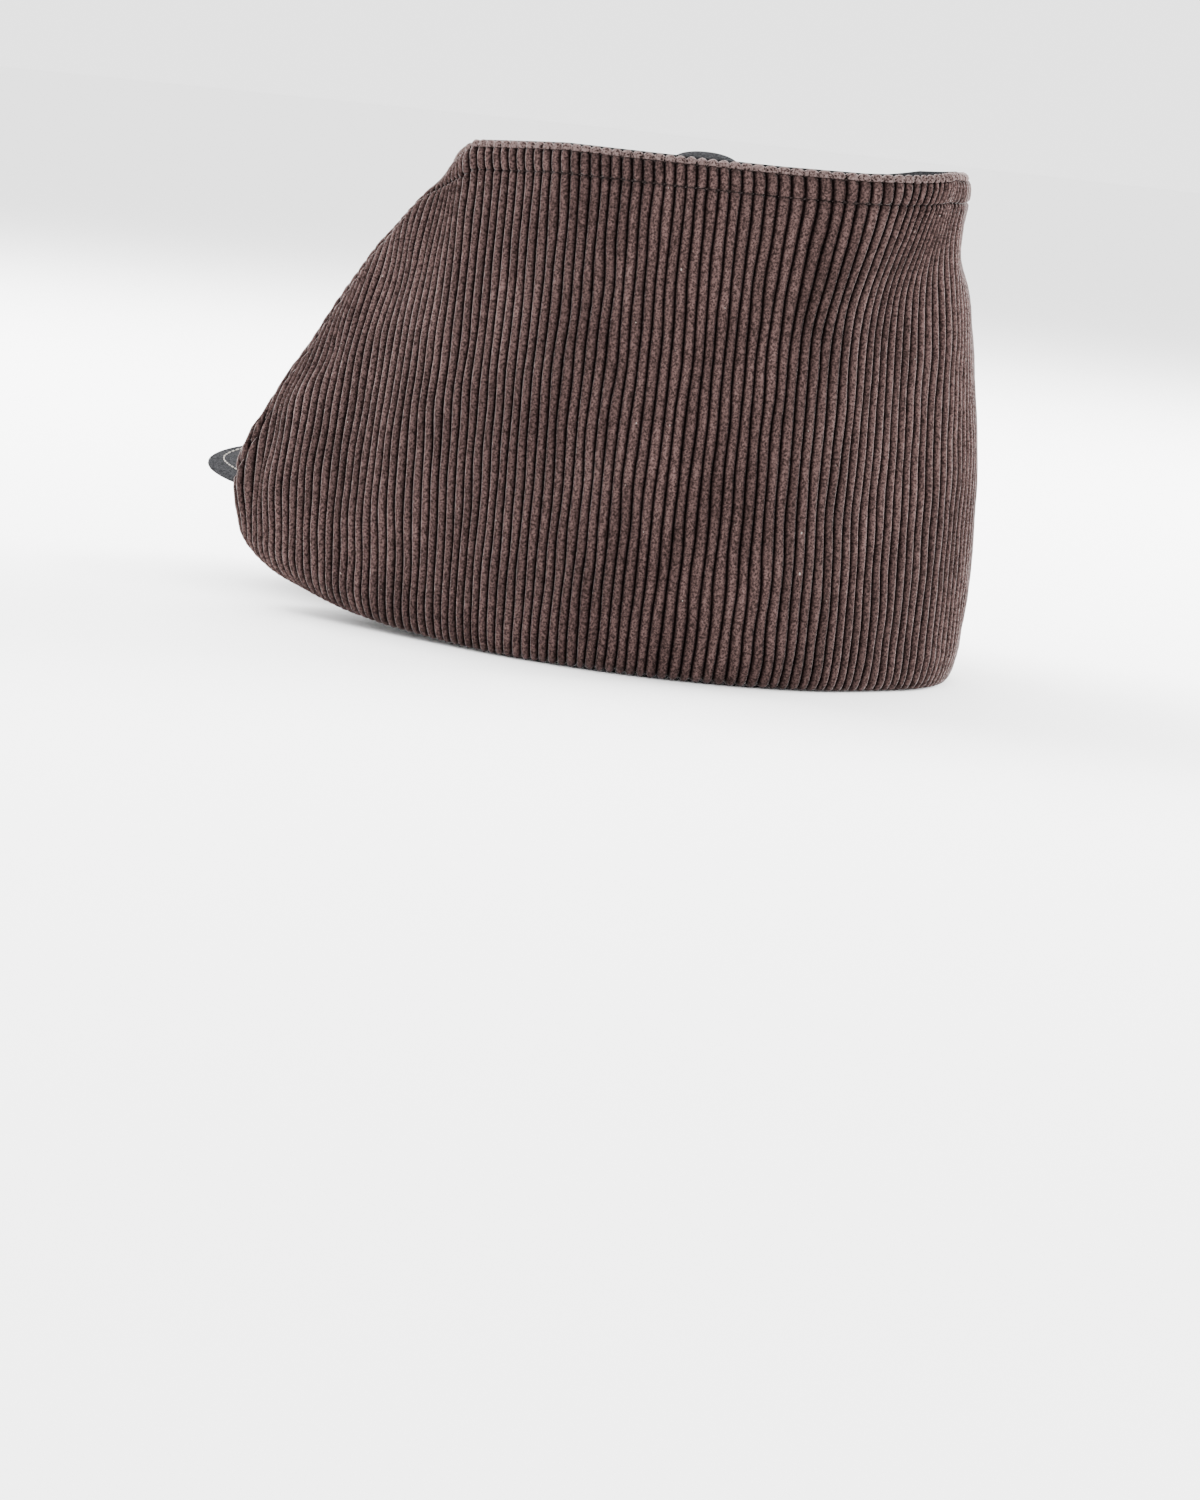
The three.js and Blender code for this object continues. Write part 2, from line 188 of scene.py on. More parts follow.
# Soft dents and puckers of the flap's outer face. along and up are on the cloth, side is 1 for
# the wearer's left, and a negative depth presses the cloth in. All in millimetres.
Dent = namedtuple("Dent", "side along up spread_along spread_up depth lean")
FLAP_DENTS = [
    Dent(1, 212, 44, 5, 16, -1.6, 0.25),
    Dent(1, 221, 36, 4, 12, 1.3, 0.25),
    Dent(1, 228, 22, 4, 10, -1.2, 0.1),
    Dent(-1, 214, 46, 6, 16, -1.4, 0.2),
    Dent(-1, 226, 30, 5, 12, 1.0, 0.1),
    Dent(1, 168, 96, 12, 26, -0.9, 0.4),
    Dent(-1, 164, 100, 14, 24, -0.9, 0.3),
    Dent(1, 60, 70, 24, 40, -0.8, 0),
    Dent(-1, 70, 76, 26, 36, -1.0, 0),
    Dent(1, 30, 128, 12, 18, -0.7, 0.3),
    Dent(-1, 60, 124, 36, 10, -3.8, 0),
    Dent(-1, 62, 50, 45, 40, 1.6, 0),
    Dent(1, 2, 116, 16, 16, -1.3, 0),
    Dent(1, 0, 6, 44, 13, -1.5, 0),
    Dent(1, 178, 100, 22, 45, -1.2, 0),
    Dent(1, 168, 117, 6, 9, 1.1, 0.7),
    Dent(1, 177, 100, 6, 9, -1.1, 0.7),
    Dent(1, 187, 86, 6, 9, 1.1, 0.7),
    Dent(1, 194, 74, 5, 7, -0.9, 0.7),
    Dent(1, 202, 62, 6, 8, 1.0, 0.6),
    Dent(-1, 178, 100, 22, 45, -1.2, 0),
]


class FlapSettings(bpy.types.PropertyGroup):
    """Sizes and colours of the corduroy flap"""

    rib_pitch: FloatProperty(
        name="Rib pitch", description="Distance from one rib of the corduroy to the next",
        default=3.0 * MM, unit="LENGTH")
    rib_height: FloatProperty(
        name="Rib height", description="Depth of the grooves between the ribs",
        default=1.25 * MM, unit="LENGTH")
    pile_roughness: FloatProperty(
        name="Pile roughness", description="How unevenly the pile stands, as a share of the rib height",
        default=0.16)
    hem_depth: FloatProperty(
        name="Hem depth", description="Distance of the hem's lower stitching from the rim",
        default=7.6 * MM, unit="LENGTH")
    edge_stitch: FloatProperty(
        name="Edge stitching", description="Distance of the hem's upper stitching from the rim",
        default=1.5 * MM, unit="LENGTH")
    sway: FloatProperty(
        name="Sway", description="How far the ribs swing sideways together",
        default=0.7 * MM, unit="LENGTH")
    wander: FloatProperty(
        name="Wander", description="How far each rib wanders by itself",
        default=0.3 * MM, unit="LENGTH")
    ridge_colour: FloatVectorProperty(
        name="Ridge colour", description="Colour of the pile on the ribs", subtype="COLOR", size=3,
        default=(0.041, 0.0255, 0.0237), min=0, max=1)
    # Painted shade: this near-black colour stands in for the shade deep in the grooves between the ribs
    groove_colour: FloatVectorProperty(
        name="Groove colour", description="Colour deep between the ribs", subtype="COLOR", size=3,
        default=(0.0020, 0.0011, 0.0011), min=0, max=1)


class WoolSettings(bpy.types.PropertyGroup):
    """Colours of the charcoal wool"""

    dark_fibre: FloatVectorProperty(
        name="Dark fibre", description="Colour of the darker wool fibres", subtype="COLOR", size=3,
        default=(0.0052, 0.0053, 0.0058), min=0, max=1)
    light_fibre: FloatVectorProperty(
        name="Light fibre", description="Colour of the lighter wool fibres", subtype="COLOR", size=3,
        default=(0.040, 0.040, 0.0424), min=0, max=1)


class StitchSettings(bpy.types.PropertyGroup):
    """Sizes and colours of the sewing thread"""

    thread_radius: FloatProperty(
        name="Thread radius", description="Half the thickness of the sewing thread",
        default=0.24 * MM, unit="LENGTH")
    stitch_length: FloatProperty(
        name="Stitch length", description="Distance from one stitch to the next",
        default=3.0 * MM, unit="LENGTH")
    hem_thread: FloatVectorProperty(
        name="Hem thread", description="Colour of the thread in the flap's hem", subtype="COLOR",
        size=3, default=(0.020, 0.012, 0.011), min=0, max=1)
    peak_thread: FloatVectorProperty(
        name="Peak thread", description="Colour of the thread round the peak", subtype="COLOR",
        size=3, default=(0.26, 0.238, 0.205), min=0, max=1)


class StageSettings(bpy.types.PropertyGroup):
    """Light and camera"""

    backdrop: FloatProperty(
        name="Backdrop", description="Brightness of the white surroundings", default=2.8)
    side_light: FloatProperty(
        name="Side light", description="Power of each side light", default=155.0, unit="POWER")
    back_light: FloatProperty(
        name="Back light", description="Power of the light behind the cap", default=50.0, unit="POWER")
    key_light: FloatProperty(
        name="Key light", description="Power of the light over the camera", default=3.0, unit="POWER")
    lens: FloatProperty(
        name="Lens", description="Focal length", default=112.84, subtype="DISTANCE_CAMERA")


# Sockets of a Mix node that are for colours, since others have the same names
MIX_FACTOR, MIX_FIRST, MIX_SECOND, MIX_RESULT = 0, 6, 7, 2
DUST_COLOUR = (0.25, 0.21, 0.19)
FRINGE_COLOUR = (0.120, 0.085, 0.080)


def maths_method(operation, swapped=False):
    """A method that adds a Math node for a socket and another socket or number."""
    def method(self, other=None):
        first, second = (other, self) if swapped else (self, other)
        return self.net.maths(operation, first, second)
    return method


class Socket:
    """The output of a node. Sums and products with it add Math nodes."""

    def __init__(self, net, output):
        self.net = net
        self.output = output

    def out(self, name):
        return Socket(self.net, self.output.node.outputs[name])

    __add__ = maths_method("ADD")
    __radd__ = maths_method("ADD", swapped=True)
    __sub__ = maths_method("SUBTRACT")
    __rsub__ = maths_method("SUBTRACT", swapped=True)
    __mul__ = maths_method("MULTIPLY")
    __rmul__ = maths_method("MULTIPLY", swapped=True)
    __truediv__ = maths_method("DIVIDE")
    __pow__ = maths_method("POWER")
    __abs__ = maths_method("ABSOLUTE")


class Net:
    """Adds nodes to a material's or a modifier's node tree."""

    def __init__(self, tree):
        self.tree = tree

    def add(self, kind, settings=None, inputs=None, output=0):
        """One node: its settings first, then a value or a link for each socket."""
        node = self.tree.nodes.new(kind)
        for name, value in (settings or {}).items():
            setattr(node, name, value)
        for key, value in (inputs or {}).items():
            if isinstance(value, Socket):
                self.tree.links.new(value.output, node.inputs[key])
            else:
                node.inputs[key].default_value = value
        return Socket(self, node.outputs[output]) if node.outputs else node

    def maths(self, operation, first, second=None):
        inputs = {0: first}
        if second is not None:
            inputs[1] = second
        return self.add("ShaderNodeMath", {"operation": operation}, inputs)

    def smooth_range(self, value, low, high, to_low=0.0, to_high=1.0):
        """A value that rises from low to high, as one that goes smoothly from to_low to to_high."""
        return self.add(
            "ShaderNodeMapRange", {"interpolation_type": "SMOOTHSTEP"},
            {"Value": value, "From Min": low, "From Max": high, "To Min": to_low, "To Max": to_high})

    def mix_colour(self, factor, first, second, blend="MIX"):
        """Colours may be links or plain tuples of three."""
        as_input = lambda colour: colour if isinstance(colour, Socket) else (*colour, 1)
        return self.add(
            "ShaderNodeMix", {"data_type": "RGBA", "blend_type": blend, "clamp_factor": True},
            {MIX_FACTOR: factor, MIX_FIRST: as_input(first), MIX_SECOND: as_input(second)},
            output=MIX_RESULT)

    def toned(self, colour, lightness):
        """A colour made darker or lighter by a share."""
        shade = self.add("ShaderNodeCombineXYZ", None, {axis: lightness for axis in "XYZ"})
        return self.mix_colour(1.0, colour, shade, "MULTIPLY")

    def stretched(self, coordinates, scale):
        return self.add("ShaderNodeMapping", None, {"Vector": coordinates, "Scale": scale})

    def noise(self, coordinates, scale, detail=2.0, roughness=0.5):
        return self.add(
            "ShaderNodeTexNoise", None,
            {"Vector": coordinates, "Scale": scale, "Detail": detail, "Roughness": roughness})


def row_slopes(places, values):
    """Slope at each row, between its neighbours, or to the only neighbour at an end."""
    last = len(places) - 1
    slopes = []
    for i in range(last + 1):
        before, after = max(i - 1, 0), min(i + 1, last)
        slopes.append((values[after] - values[before]) / (places[after] - places[before]))
    return slopes


def smooth_between(t, span, start, start_slope, end, end_slope):
    """Values on the smooth line between two rows, at shares t of the span between them."""
    rest = 1 - t
    return (start * rest**2 * (1 + 2 * t) + start_slope * span * t * rest**2
            + end * t**2 * (3 - 2 * t) - end_slope * span * t**2 * rest)


def smooth_column(places, values, at):
    """Values at distances, on a smooth line through every row of a table."""
    slopes = np.array(row_slopes(places, values))
    row = np.clip(np.searchsorted(places, at) - 1, 0, len(places) - 2)
    span = places[row + 1] - places[row]
    t = (at - places[row]) / span
    return smooth_between(t, span, values[row], slopes[row], values[row + 1], slopes[row + 1])


def smooth_levels(places, values, at):
    """As smooth_column, for a column of arrays that has one value for each point."""
    slopes = row_slopes(places, values)
    result = np.zeros(np.broadcast(at, values[0]).shape)
    for i in range(len(places) - 1):
        span = places[i + 1] - places[i]
        t = (at - places[i]) / span
        piece = smooth_between(t, span, values[i], slopes[i], values[i + 1], slopes[i + 1])
        inside = (at >= places[i]) if i else np.full(result.shape, True)
        result = np.where(inside, piece, result)
    return result


def bell(distance, width):
    return np.exp(-(distance / width) ** 2)


def ripple(first, second, seed, wavelength, terms=5):
    """Smooth pseudo-random height from -1 to 1 over two coordinates, the same for each run."""
    random = np.random.default_rng(seed)
    total = 0
    for _ in range(terms):
        angle = random.uniform(0, 2 * math.pi)
        step = 2 * math.pi / (wavelength * random.uniform(0.7, 1.5))
        total = total + np.sin(step * (first * math.cos(angle) + second * math.sin(angle))
                               + random.uniform(0, 2 * math.pi))
    return total / terms


def crown_plan(angle, scale=1.0, inset=0.0):
    """Point of the crown's plan at an angle from the centre back, in millimetres."""
    half_width = CROWN_HALF_WIDTH * scale - inset
    half_length = CROWN_HALF_LENGTH * scale - inset
    reach = (np.abs(np.sin(angle)) / half_width) ** CROWN_PLAN_POWER
    reach = reach + (np.abs(np.cos(angle)) / half_length) ** CROWN_PLAN_POWER
    radius = reach ** (-1 / CROWN_PLAN_POWER)
    return radius * np.sin(angle), radius * np.cos(angle)


def headline_z(y):
    """Height of the seam round the head at a distance from back to front."""
    front_y = CROWN_CENTRE_Y - CROWN_HALF_LENGTH
    t = np.clip((HEADLINE_RISE_START_Y - y) / (HEADLINE_RISE_START_Y - front_y), 0, 1)
    return HEADLINE_BACK_Z + HEADLINE_FRONT_RISE * t**2


def crown_point(angle, rise, inset):
    """Point of the crown, where rise runs from 0 at the headline to a right angle at the top."""
    base_y = crown_plan(angle)[1]
    start_z = headline_z(CROWN_CENTRE_Y + base_y) + HEADLINE_GAP / 2
    scale = np.cos(rise) ** (2 / CROWN_DOME_POWER)
    climb = np.sin(rise) ** (2 / CROWN_DOME_POWER)
    x, y = crown_plan(angle, scale, inset * np.cos(rise) * scale)
    return np.stack([
        x,
        CROWN_CENTRE_Y + CROWN_TOP_SHIFT * climb**2 + y,
        start_z + (CROWN_TOP_Z - start_z) * climb - inset * np.sin(rise),
    ], axis=-1)


def brow_place(row):
    """Place of a row's brow in plan: as given, or else on the smooth line through the row's other
    heights, to a tenth of a millimetre."""
    for given in BROW_ROWS:
        if given.along == row.along:
            return given.x, given.y
    names = [name for name in WALL_SHARES if name != "brow"]
    shares = [WALL_SHARES[name] for name in names]
    place = []
    for axis in "xy":
        line = [getattr(row, f"{name}_{axis}") for name in names]
        place.append(round(float(smooth_levels(shares, line, WALL_SHARES["brow"])), 1))
    return place


def mirrored_flap_columns():
    """The flap's rows from the right front end to the left one, as arrays by column name."""
    one_side = {name: [getattr(row, name) for row in FLAP_ROWS] for name in FlapRow._fields}
    one_side["brow_x"], one_side["brow_y"] = zip(*(brow_place(row) for row in FLAP_ROWS))
    columns = {}
    for name, cells in one_side.items():
        values = np.array(cells, float)
        sign = -1 if name == "along" or name.endswith("_x") else 1
        columns[name] = np.concatenate([sign * values[:0:-1], values])
    columns["rim_z"][:len(FLAP_ROWS) - 1] += columns["right_rise"][:len(FLAP_ROWS) - 1]
    return columns


class FlapShape:
    """The flap's outer face from the headline seam, down round the fold and up to the rim."""

    def __init__(self):
        self.columns = mirrored_flap_columns()
        self.half_length = FLAP_ROWS[-1].along

    def value(self, name, along):
        return smooth_column(self.columns["along"], self.columns[name], along)

    def rim_z(self, along):
        return np.interp(along, self.columns["along"], self.columns["rim_z"]) - RIB_ROLL

    def rim_stretch(self, along):
        """How much longer a distance square to the sloping rim is when measured upright."""
        step = 3.0
        slope = (self.rim_z(along + step) - self.rim_z(along - step)) / (2 * step)
        return np.sqrt(1 + slope**2)

    def wall_share(self, along, z):
        """Height on the wall as a share, from 0 at the fold to 1 at the rim."""
        start_z = np.maximum(0, self.value("fold_z", along)) + FOLD_RISE
        return (z - start_z) / (self.rim_z(along) - start_z)

    def plan(self, along):
        """Seam point, outward direction and width of the turned-up cloth in plan."""
        low = np.stack([self.value("low_x", along), self.value("low_y", along)], axis=-1)
        angle = np.arctan2(low[..., 0], low[..., 1] - CROWN_CENTRE_Y)
        seam = np.stack(crown_plan(angle, 1.0, CROWN_THICK), axis=-1)
        seam[..., 1] += CROWN_CENTRE_Y
        outward = low - seam
        width = np.linalg.norm(outward, axis=-1)
        outward = outward / width[..., None]
        headline_y = crown_plan(angle)[1] + CROWN_CENTRE_Y
        return seam, outward, width, headline_z(headline_y) - HEADLINE_GAP / 2

    def points(self, along, station, depth):
        """Points at distances along the cloth, at one station of its section and a depth."""
        kind, amount = station
        seam, outward, width, seam_z = self.plan(along)
        fold_z = np.maximum(0, self.value("fold_z", along))
        hollow = width - 2 * depth
        flat = np.minimum(FOLD_FLAT, FOLD_FLAT_SHARE * hollow)
        corner = (hollow - flat) / 2
        bottom = fold_z + depth
        inner_rise = np.minimum(FOLD_RISE, seam_z - fold_z - FOLD_SEAM_ROOM) - depth
        outer_rise = FOLD_RISE - depth
        if kind == "leg":
            top = seam_z + (bottom + inner_rise - seam_z) * amount
            return self._beside(seam, outward, depth + 0 * width, top)
        if kind == "turn_in":
            reach = depth + corner * (1 - math.cos(amount))
            return self._beside(seam, outward, reach, bottom + inner_rise * (1 - math.sin(amount)))
        if kind == "turn_out":
            reach = width - depth - corner * (1 - math.cos(amount))
            return self._beside(seam, outward, reach, bottom + outer_rise * (1 - math.sin(amount)))
        rim_z = self.rim_z(along)
        start_z = fold_z + FOLD_RISE
        stretch = self.rim_stretch(along)
        zone = np.minimum(HEM_ZONE * stretch, HEM_ZONE_SHARE * (rim_z - start_z))
        if kind == "wall":
            z = start_z + (rim_z - zone - start_z) * amount
        else:
            z = rim_z - zone * amount / HEM_ZONE
        share = (z - start_z) / (rim_z - start_z)
        levels = list(WALL_SHARES.values())
        x = smooth_levels(levels, [self.value(f"{name}_x", along) for name in WALL_SHARES], share)
        y = smooth_levels(levels, [self.value(f"{name}_y", along) for name in WALL_SHARES], share)
        return np.stack([x - outward[..., 0] * depth, y - outward[..., 1] * depth, z], axis=-1)

    def _beside(self, seam, outward, reach, z):
        return np.stack([
            seam[..., 0] + outward[..., 0] * reach,
            seam[..., 1] + outward[..., 1] * reach,
            z + 0 * reach,
        ], axis=-1)


def closed_strip_mesh(name, loops, uv, face_count):
    """A closed wall from section loops: loops is columns by points round the section. The first
    face_count points of a loop are the outer face, and the rest run back inside."""
    columns, points = loops.shape[:2]
    index = np.arange(columns * points).reshape(columns, points)
    following = np.roll(index, -1, axis=1)
    quads = np.stack([index[:-1], index[1:], following[1:], following[:-1]], axis=-1).reshape(-1, 4)
    faces = [tuple(quad) for quad in quads.tolist()]
    corners = [uv.reshape(-1, 2)[quads.ravel()]]
    for end, flip in ((0, False), (columns - 1, True)):
        cap = zipped_cap(index[end], face_count)
        if flip:
            cap = [triangle[::-1] for triangle in cap]
        faces += cap
        corners.append(uv.reshape(-1, 2)[np.array(cap).ravel()])
    mesh = bpy.data.meshes.new(name)
    mesh.from_pydata(loops.reshape(-1, 3) * MM, [], faces)
    layer = mesh.uv_layers.new(name="cloth")
    layer.data.foreach_set("uv", (np.concatenate(corners) * MM).astype(np.float32).ravel())
    if signed_volume(mesh) < 0:
        mesh.flip_normals()
    # The end caps, the only triangles, are flat, so that they don't tilt the wall's shading
    for polygon in mesh.polygons:
        polygon.use_smooth = polygon.loop_total > 3
    mesh.validate()
    return mesh


def zipped_cap(loop, face_count):
    """Triangles that close one end of a thin wall, between its outer and its inner points."""
    outer = list(loop[:face_count])
    inner = list(loop[face_count:])[::-1]
    triangles = []
    i = j = 0
    while i < len(outer) - 1 or j < len(inner) - 1:
        outer_next = (i + 1) / max(len(outer) - 1, 1)
        inner_next = (j + 1) / max(len(inner) - 1, 1)
        if j == len(inner) - 1 or (i < len(outer) - 1 and outer_next <= inner_next):
            triangles.append((int(outer[i]), int(outer[i + 1]), int(inner[j])))
            i += 1
        else:
            triangles.append((int(outer[i]), int(inner[j + 1]), int(inner[j])))
            j += 1
    return triangles


def signed_volume(mesh):
    mesh.calc_loop_triangles()
    corner = np.empty(len(mesh.loop_triangles) * 3, np.int32)
    mesh.loop_triangles.foreach_get("vertices", corner)
    place = np.empty(len(mesh.vertices) * 3)
    mesh.vertices.foreach_get("co", place)
    a, b, c = place.reshape(-1, 3)[corner].reshape(-1, 3, 3).transpose(1, 0, 2)
    return float((a * np.cross(b, c)).sum() / 6)


def point_values(mesh, name, values):
    attribute = mesh.attributes.new(name, "FLOAT", "POINT")
    attribute.data.foreach_set("value", values.astype(np.float32).ravel())


def cloth_uv(loops, across):
    """Where each point lies on the cloth: across it as given, and along its own section."""
    steps = np.linalg.norm(np.diff(loops, axis=1), axis=2)
    up = np.concatenate([np.zeros((len(loops), 1)), np.cumsum(steps, axis=1)], axis=1)
    return np.stack([np.broadcast_to(across[:, None], up.shape), up], axis=-1)


def scene_object(name, data):
    """A new object in the scene: a mesh, a curve, a light or a camera."""
    made = bpy.data.objects.new(name, data)
    bpy.context.scene.collection.objects.link(made)
    return made


def new_piece(name, mesh, material, replaces=()):
    piece = scene_object(name, mesh)
    mesh.materials.clear()
    mesh.materials.append(material)
    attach(piece, BODY)
    if replaces:
        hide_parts(*replaces)
    return piece


def with_geometry_nodes(mesh, tree, values):
    """The mesh that a node tree makes of a mesh or curve, its inputs set by name."""
    source = scene_object("source", mesh)
    modifier = source.modifiers.new("nodes", "NODES")
    modifier.node_group = tree
    for item in tree.interface.items_tree:
        if item.item_type == "SOCKET" and item.in_out == "INPUT" and item.name in values:
            modifier[item.identifier] = values[item.name]
    bpy.context.view_layer.update()
    depsgraph = bpy.context.evaluated_depsgraph_get()
    made = bpy.data.meshes.new_from_object(source.evaluated_get(depsgraph))
    made.name = mesh.name
    source.modifiers.clear()
    bpy.data.objects.remove(source)
    return made


def geometry_tree(name, inputs):
    """An empty Geometry Nodes tree with named inputs, its net and its group input."""
    tree = bpy.data.node_groups.new(name, "GeometryNodeTree")
    tree.interface.new_socket("Geometry", in_out="INPUT", socket_type="NodeSocketGeometry")
    for label, kind, default in inputs:
        socket = tree.interface.new_socket(label, in_out="INPUT", socket_type=kind)
        if default is not None:
            socket.default_value = default
    tree.interface.new_socket("Geometry", in_out="OUTPUT", socket_type="NodeSocketGeometry")
    net = Net(tree)
    return tree, net, net.add("NodeGroupInput")


def finish_tree(net, geometry, material, smooth=True):
    """Ends a Geometry Nodes tree with real geometry and one material, and smooth faces if asked."""
    real = net.add("GeometryNodeRealizeInstances", None, {"Geometry": geometry})
    painted = net.add("GeometryNodeSetMaterial", None, {"Geometry": real, "Material": material})
    if smooth:
        painted = net.add("GeometryNodeSetShadeSmooth", None, {"Geometry": painted})
    net.add("NodeGroupOutput", None, {"Geometry": painted})


def rib_tree():
    """Raises ribs on the cloth: their height follows the distance along it."""
    tree, net, given = geometry_tree("Corduroy ribs", [
        ("Rib Pitch", "NodeSocketFloat", 3 * MM),
        ("Rib Height", "NodeSocketFloat", 1 * MM),
        ("Pile Roughness", "NodeSocketFloat", 0.1),
        ("Seed", "NodeSocketInt", 7),
        ("Material", "NodeSocketMaterial", None),
    ])
    named = lambda name: net.add(
        "GeometryNodeInputNamedAttribute", {"data_type": "FLOAT"}, {"Name": name}, output="Attribute")
    phase = net.maths("FRACT", named("along") / given.out("Rib Pitch"))
    off_centre = abs(2 * phase - 1)
    ridge = 1 - off_centre**2.0
    place = net.add("GeometryNodeInputPosition")
    tufts = net.add(
        "ShaderNodeTexNoise", {"noise_dimensions": "4D"},
        {"Vector": place, "W": given.out("Seed"), "Scale": 520.0, "Detail": 2.0}) - 0.5
    thickness = 1 + tufts * given.out("Pile Roughness") * 2
    height = ridge * named("pile") * thickness * given.out("Rib Height")
    normal = net.add("GeometryNodeInputNormal")
    offset = net.add("ShaderNodeVectorMath", {"operation": "SCALE"}, {0: normal, "Scale": height})
    stored = net.add(
        "GeometryNodeStoreNamedAttribute", {"data_type": "FLOAT", "domain": "POINT"},
        {"Geometry": given.out("Geometry"), "Name": "ridge", "Value": ridge * named("pile")})
    raised = net.add("GeometryNodeSetPosition", None, {"Geometry": stored, "Offset": offset})
    finish_tree(net, raised, given.out("Material"), smooth=False)
    return tree


def stitch_tree():
    """Lays one stitch at each step of a line, its long side along the line."""
    tree, net, given = geometry_tree("Stitch row", [
        ("Stitch Length", "NodeSocketFloat", 3 * MM),
        ("Thread Radius", "NodeSocketFloat", 0.25 * MM),
        ("Share Sewn", "NodeSocketFloat", 0.78),
        ("Seed", "NodeSocketInt", 3),
        ("Material", "NodeSocketMaterial", None),
    ])
    line = net.add(
        "GeometryNodeResampleCurve", {"mode": "LENGTH"},
        {"Curve": given.out("Geometry"), "Length": given.out("Stitch Length")})
    tangent = net.add("GeometryNodeInputTangent")
    turn = net.add("FunctionNodeAlignRotationToVector", {"axis": "Z"}, {"Vector": tangent})
    thread = net.add(
        "GeometryNodeMeshUVSphere", None, {"Segments": 8, "Rings": 7, "Radius": 1.0}, output="Mesh")
    wobble = net.add(
        "FunctionNodeRandomValue", {"data_type": "FLOAT"},
        {2: 0.9, 3: 1.1, "Seed": given.out("Seed")}, output=1)
    half = given.out("Stitch Length") * given.out("Share Sewn") * 0.5 * wobble
    size = net.add(
        "ShaderNodeCombineXYZ", None,
        {"X": given.out("Thread Radius"), "Y": given.out("Thread Radius"), "Z": half})
    row = net.add(
        "GeometryNodeInstanceOnPoints", None,
        {"Points": line, "Instance": thread, "Rotation": turn, "Scale": size})
    finish_tree(net, row, given.out("Material"))
    return tree


def new_material(name, roughness, sheen, sheen_roughness, sheen_tint):
    """A cloth material, its net, its shader and the places on the object for its noise."""
    material = bpy.data.materials.new(name)
    material.use_nodes = True
    material.node_tree.nodes.clear()
    net = Net(material.node_tree)
    shader = net.add("ShaderNodeBsdfPrincipled", None, {
        "Roughness": roughness,
        "Specular IOR Level": 0.0,
        "Sheen Weight": sheen,
        "Sheen Roughness": sheen_roughness,
        "Sheen Tint": (*sheen_tint, 1),
    })
    net.add("ShaderNodeOutputMaterial", None, {"Surface": shader})
    return material, net, shader.output.node, net.add("ShaderNodeTexCoord", output="Object")


def dress(net, shader, colour, strength, distance, height):
    """Gives a shader its colour and a fine relief, with its distance in millimetres."""
    bump = net.add(
        "ShaderNodeBump", None, {"Strength": strength, "Distance": distance * MM, "Height": height})
    net.tree.links.new(colour.output, shader.inputs["Base Color"])
    net.tree.links.new(bump.output, shader.inputs["Normal"])


def darkened(colour, share):
    return tuple(channel * share for channel in colour)


def corduroy_material():
    """Brown pile, with painted shade in the grooves, tufts, dust and a frayed rim."""
    settings = bpy.context.scene.cap_flap
    material, net, shader, place = new_material("brown corduroy", 0.95, 0.3, 0.3, (1.0, 0.92, 0.90))
    cloth = net.add("ShaderNodeUVMap", {"uv_map": "cloth"})
    ridge = net.add("ShaderNodeAttribute", {"attribute_name": "ridge"}, output="Fac")
    fringe = net.add("ShaderNodeAttribute", {"attribute_name": "fringe"}, output="Fac")
    tufts = net.noise(place, 1550.0, 2.0, 0.65)
    clumps = net.noise(net.stretched(cloth, (1.0, 0.45, 1.0)), 900.0, 2.0)
    streaks = net.noise(net.stretched(cloth, (1.0, 0.06, 1.0)), 330.0, 1.0)
    patches = net.noise(place, 26.0, 3.0, 0.55)
    brushed = net.noise(net.stretched(cloth, (1.0, 0.4, 1.0)), 120.0, 2.0, 0.6)
    lightness = (net.smooth_range(tufts, 0.32, 0.68, 0.34, 1.80)
                 * net.smooth_range(clumps, 0.25, 0.75, 0.80, 1.20)
                 * net.smooth_range(streaks, 0.25, 0.75, 0.86, 1.13)
                 * net.smooth_range(brushed, 0.30, 0.70, 0.88, 1.13)
                 * net.smooth_range(patches, 0.30, 0.70, 0.80, 1.15))
    # Painted shade: where the ridge height is low (grooves, pressed stitch lines, rounded ends, plain
    # back) the colour goes to the near-black groove shade
    depth = net.smooth_range(ridge, 0.17, 0.92)
    toned = net.toned(net.mix_colour(depth, settings.groove_colour, settings.ridge_colour), lightness)
    specks = net.smooth_range(net.noise(place, 900.0, 0.0), 0.86, 0.90)
    dust = net.mix_colour(specks * net.smooth_range(ridge, 0.7, 1.0), toned, DUST_COLOUR)
    frayed = net.smooth_range(fringe, 0.25, 0.9) * net.smooth_range(tufts, 0.35, 0.6)
    dress(net, shader, net.mix_colour(frayed, dust, FRINGE_COLOUR), 0.8, 0.35, tufts + clumps * 0.5)
    return material


def wool_material(name, brightness=1.0):
    """Charcoal wool, mixed of dark and light fibres, and darkened by brightness as painted shade."""
    settings = bpy.context.scene.cap_wool
    material, net, shader, place = new_material(name, 0.95, 0.004, 0.4, (0.95, 0.96, 1.0))
    warp = net.noise(place, 240.0, 2.0)
    fibres = net.noise(net.stretched(place, (1.0, 2.6, 1.4)), 1500.0, 3.0, 0.65)
    flecks = net.noise(net.stretched(place, (2.4, 0.9, 1.2)), 1100.0, 2.0, 0.6)
    patches = net.noise(place, 60.0, 2.0)
    mixture = net.smooth_range(fibres * 0.55 + flecks * 0.4 + warp * 0.05, 0.38, 0.64)
    # A brightness under 1 paints shade: it darkens the whole wool, as for the facing inside the flap
    base = net.mix_colour(mixture, darkened(settings.dark_fibre, brightness),
                          darkened(settings.light_fibre, brightness))
    colour = net.toned(base, net.smooth_range(patches, 0.3, 0.7, 0.96, 1.04))
    dress(net, shader, colour, 0.7, 0.3, fibres + flecks * 0.6)
    return material


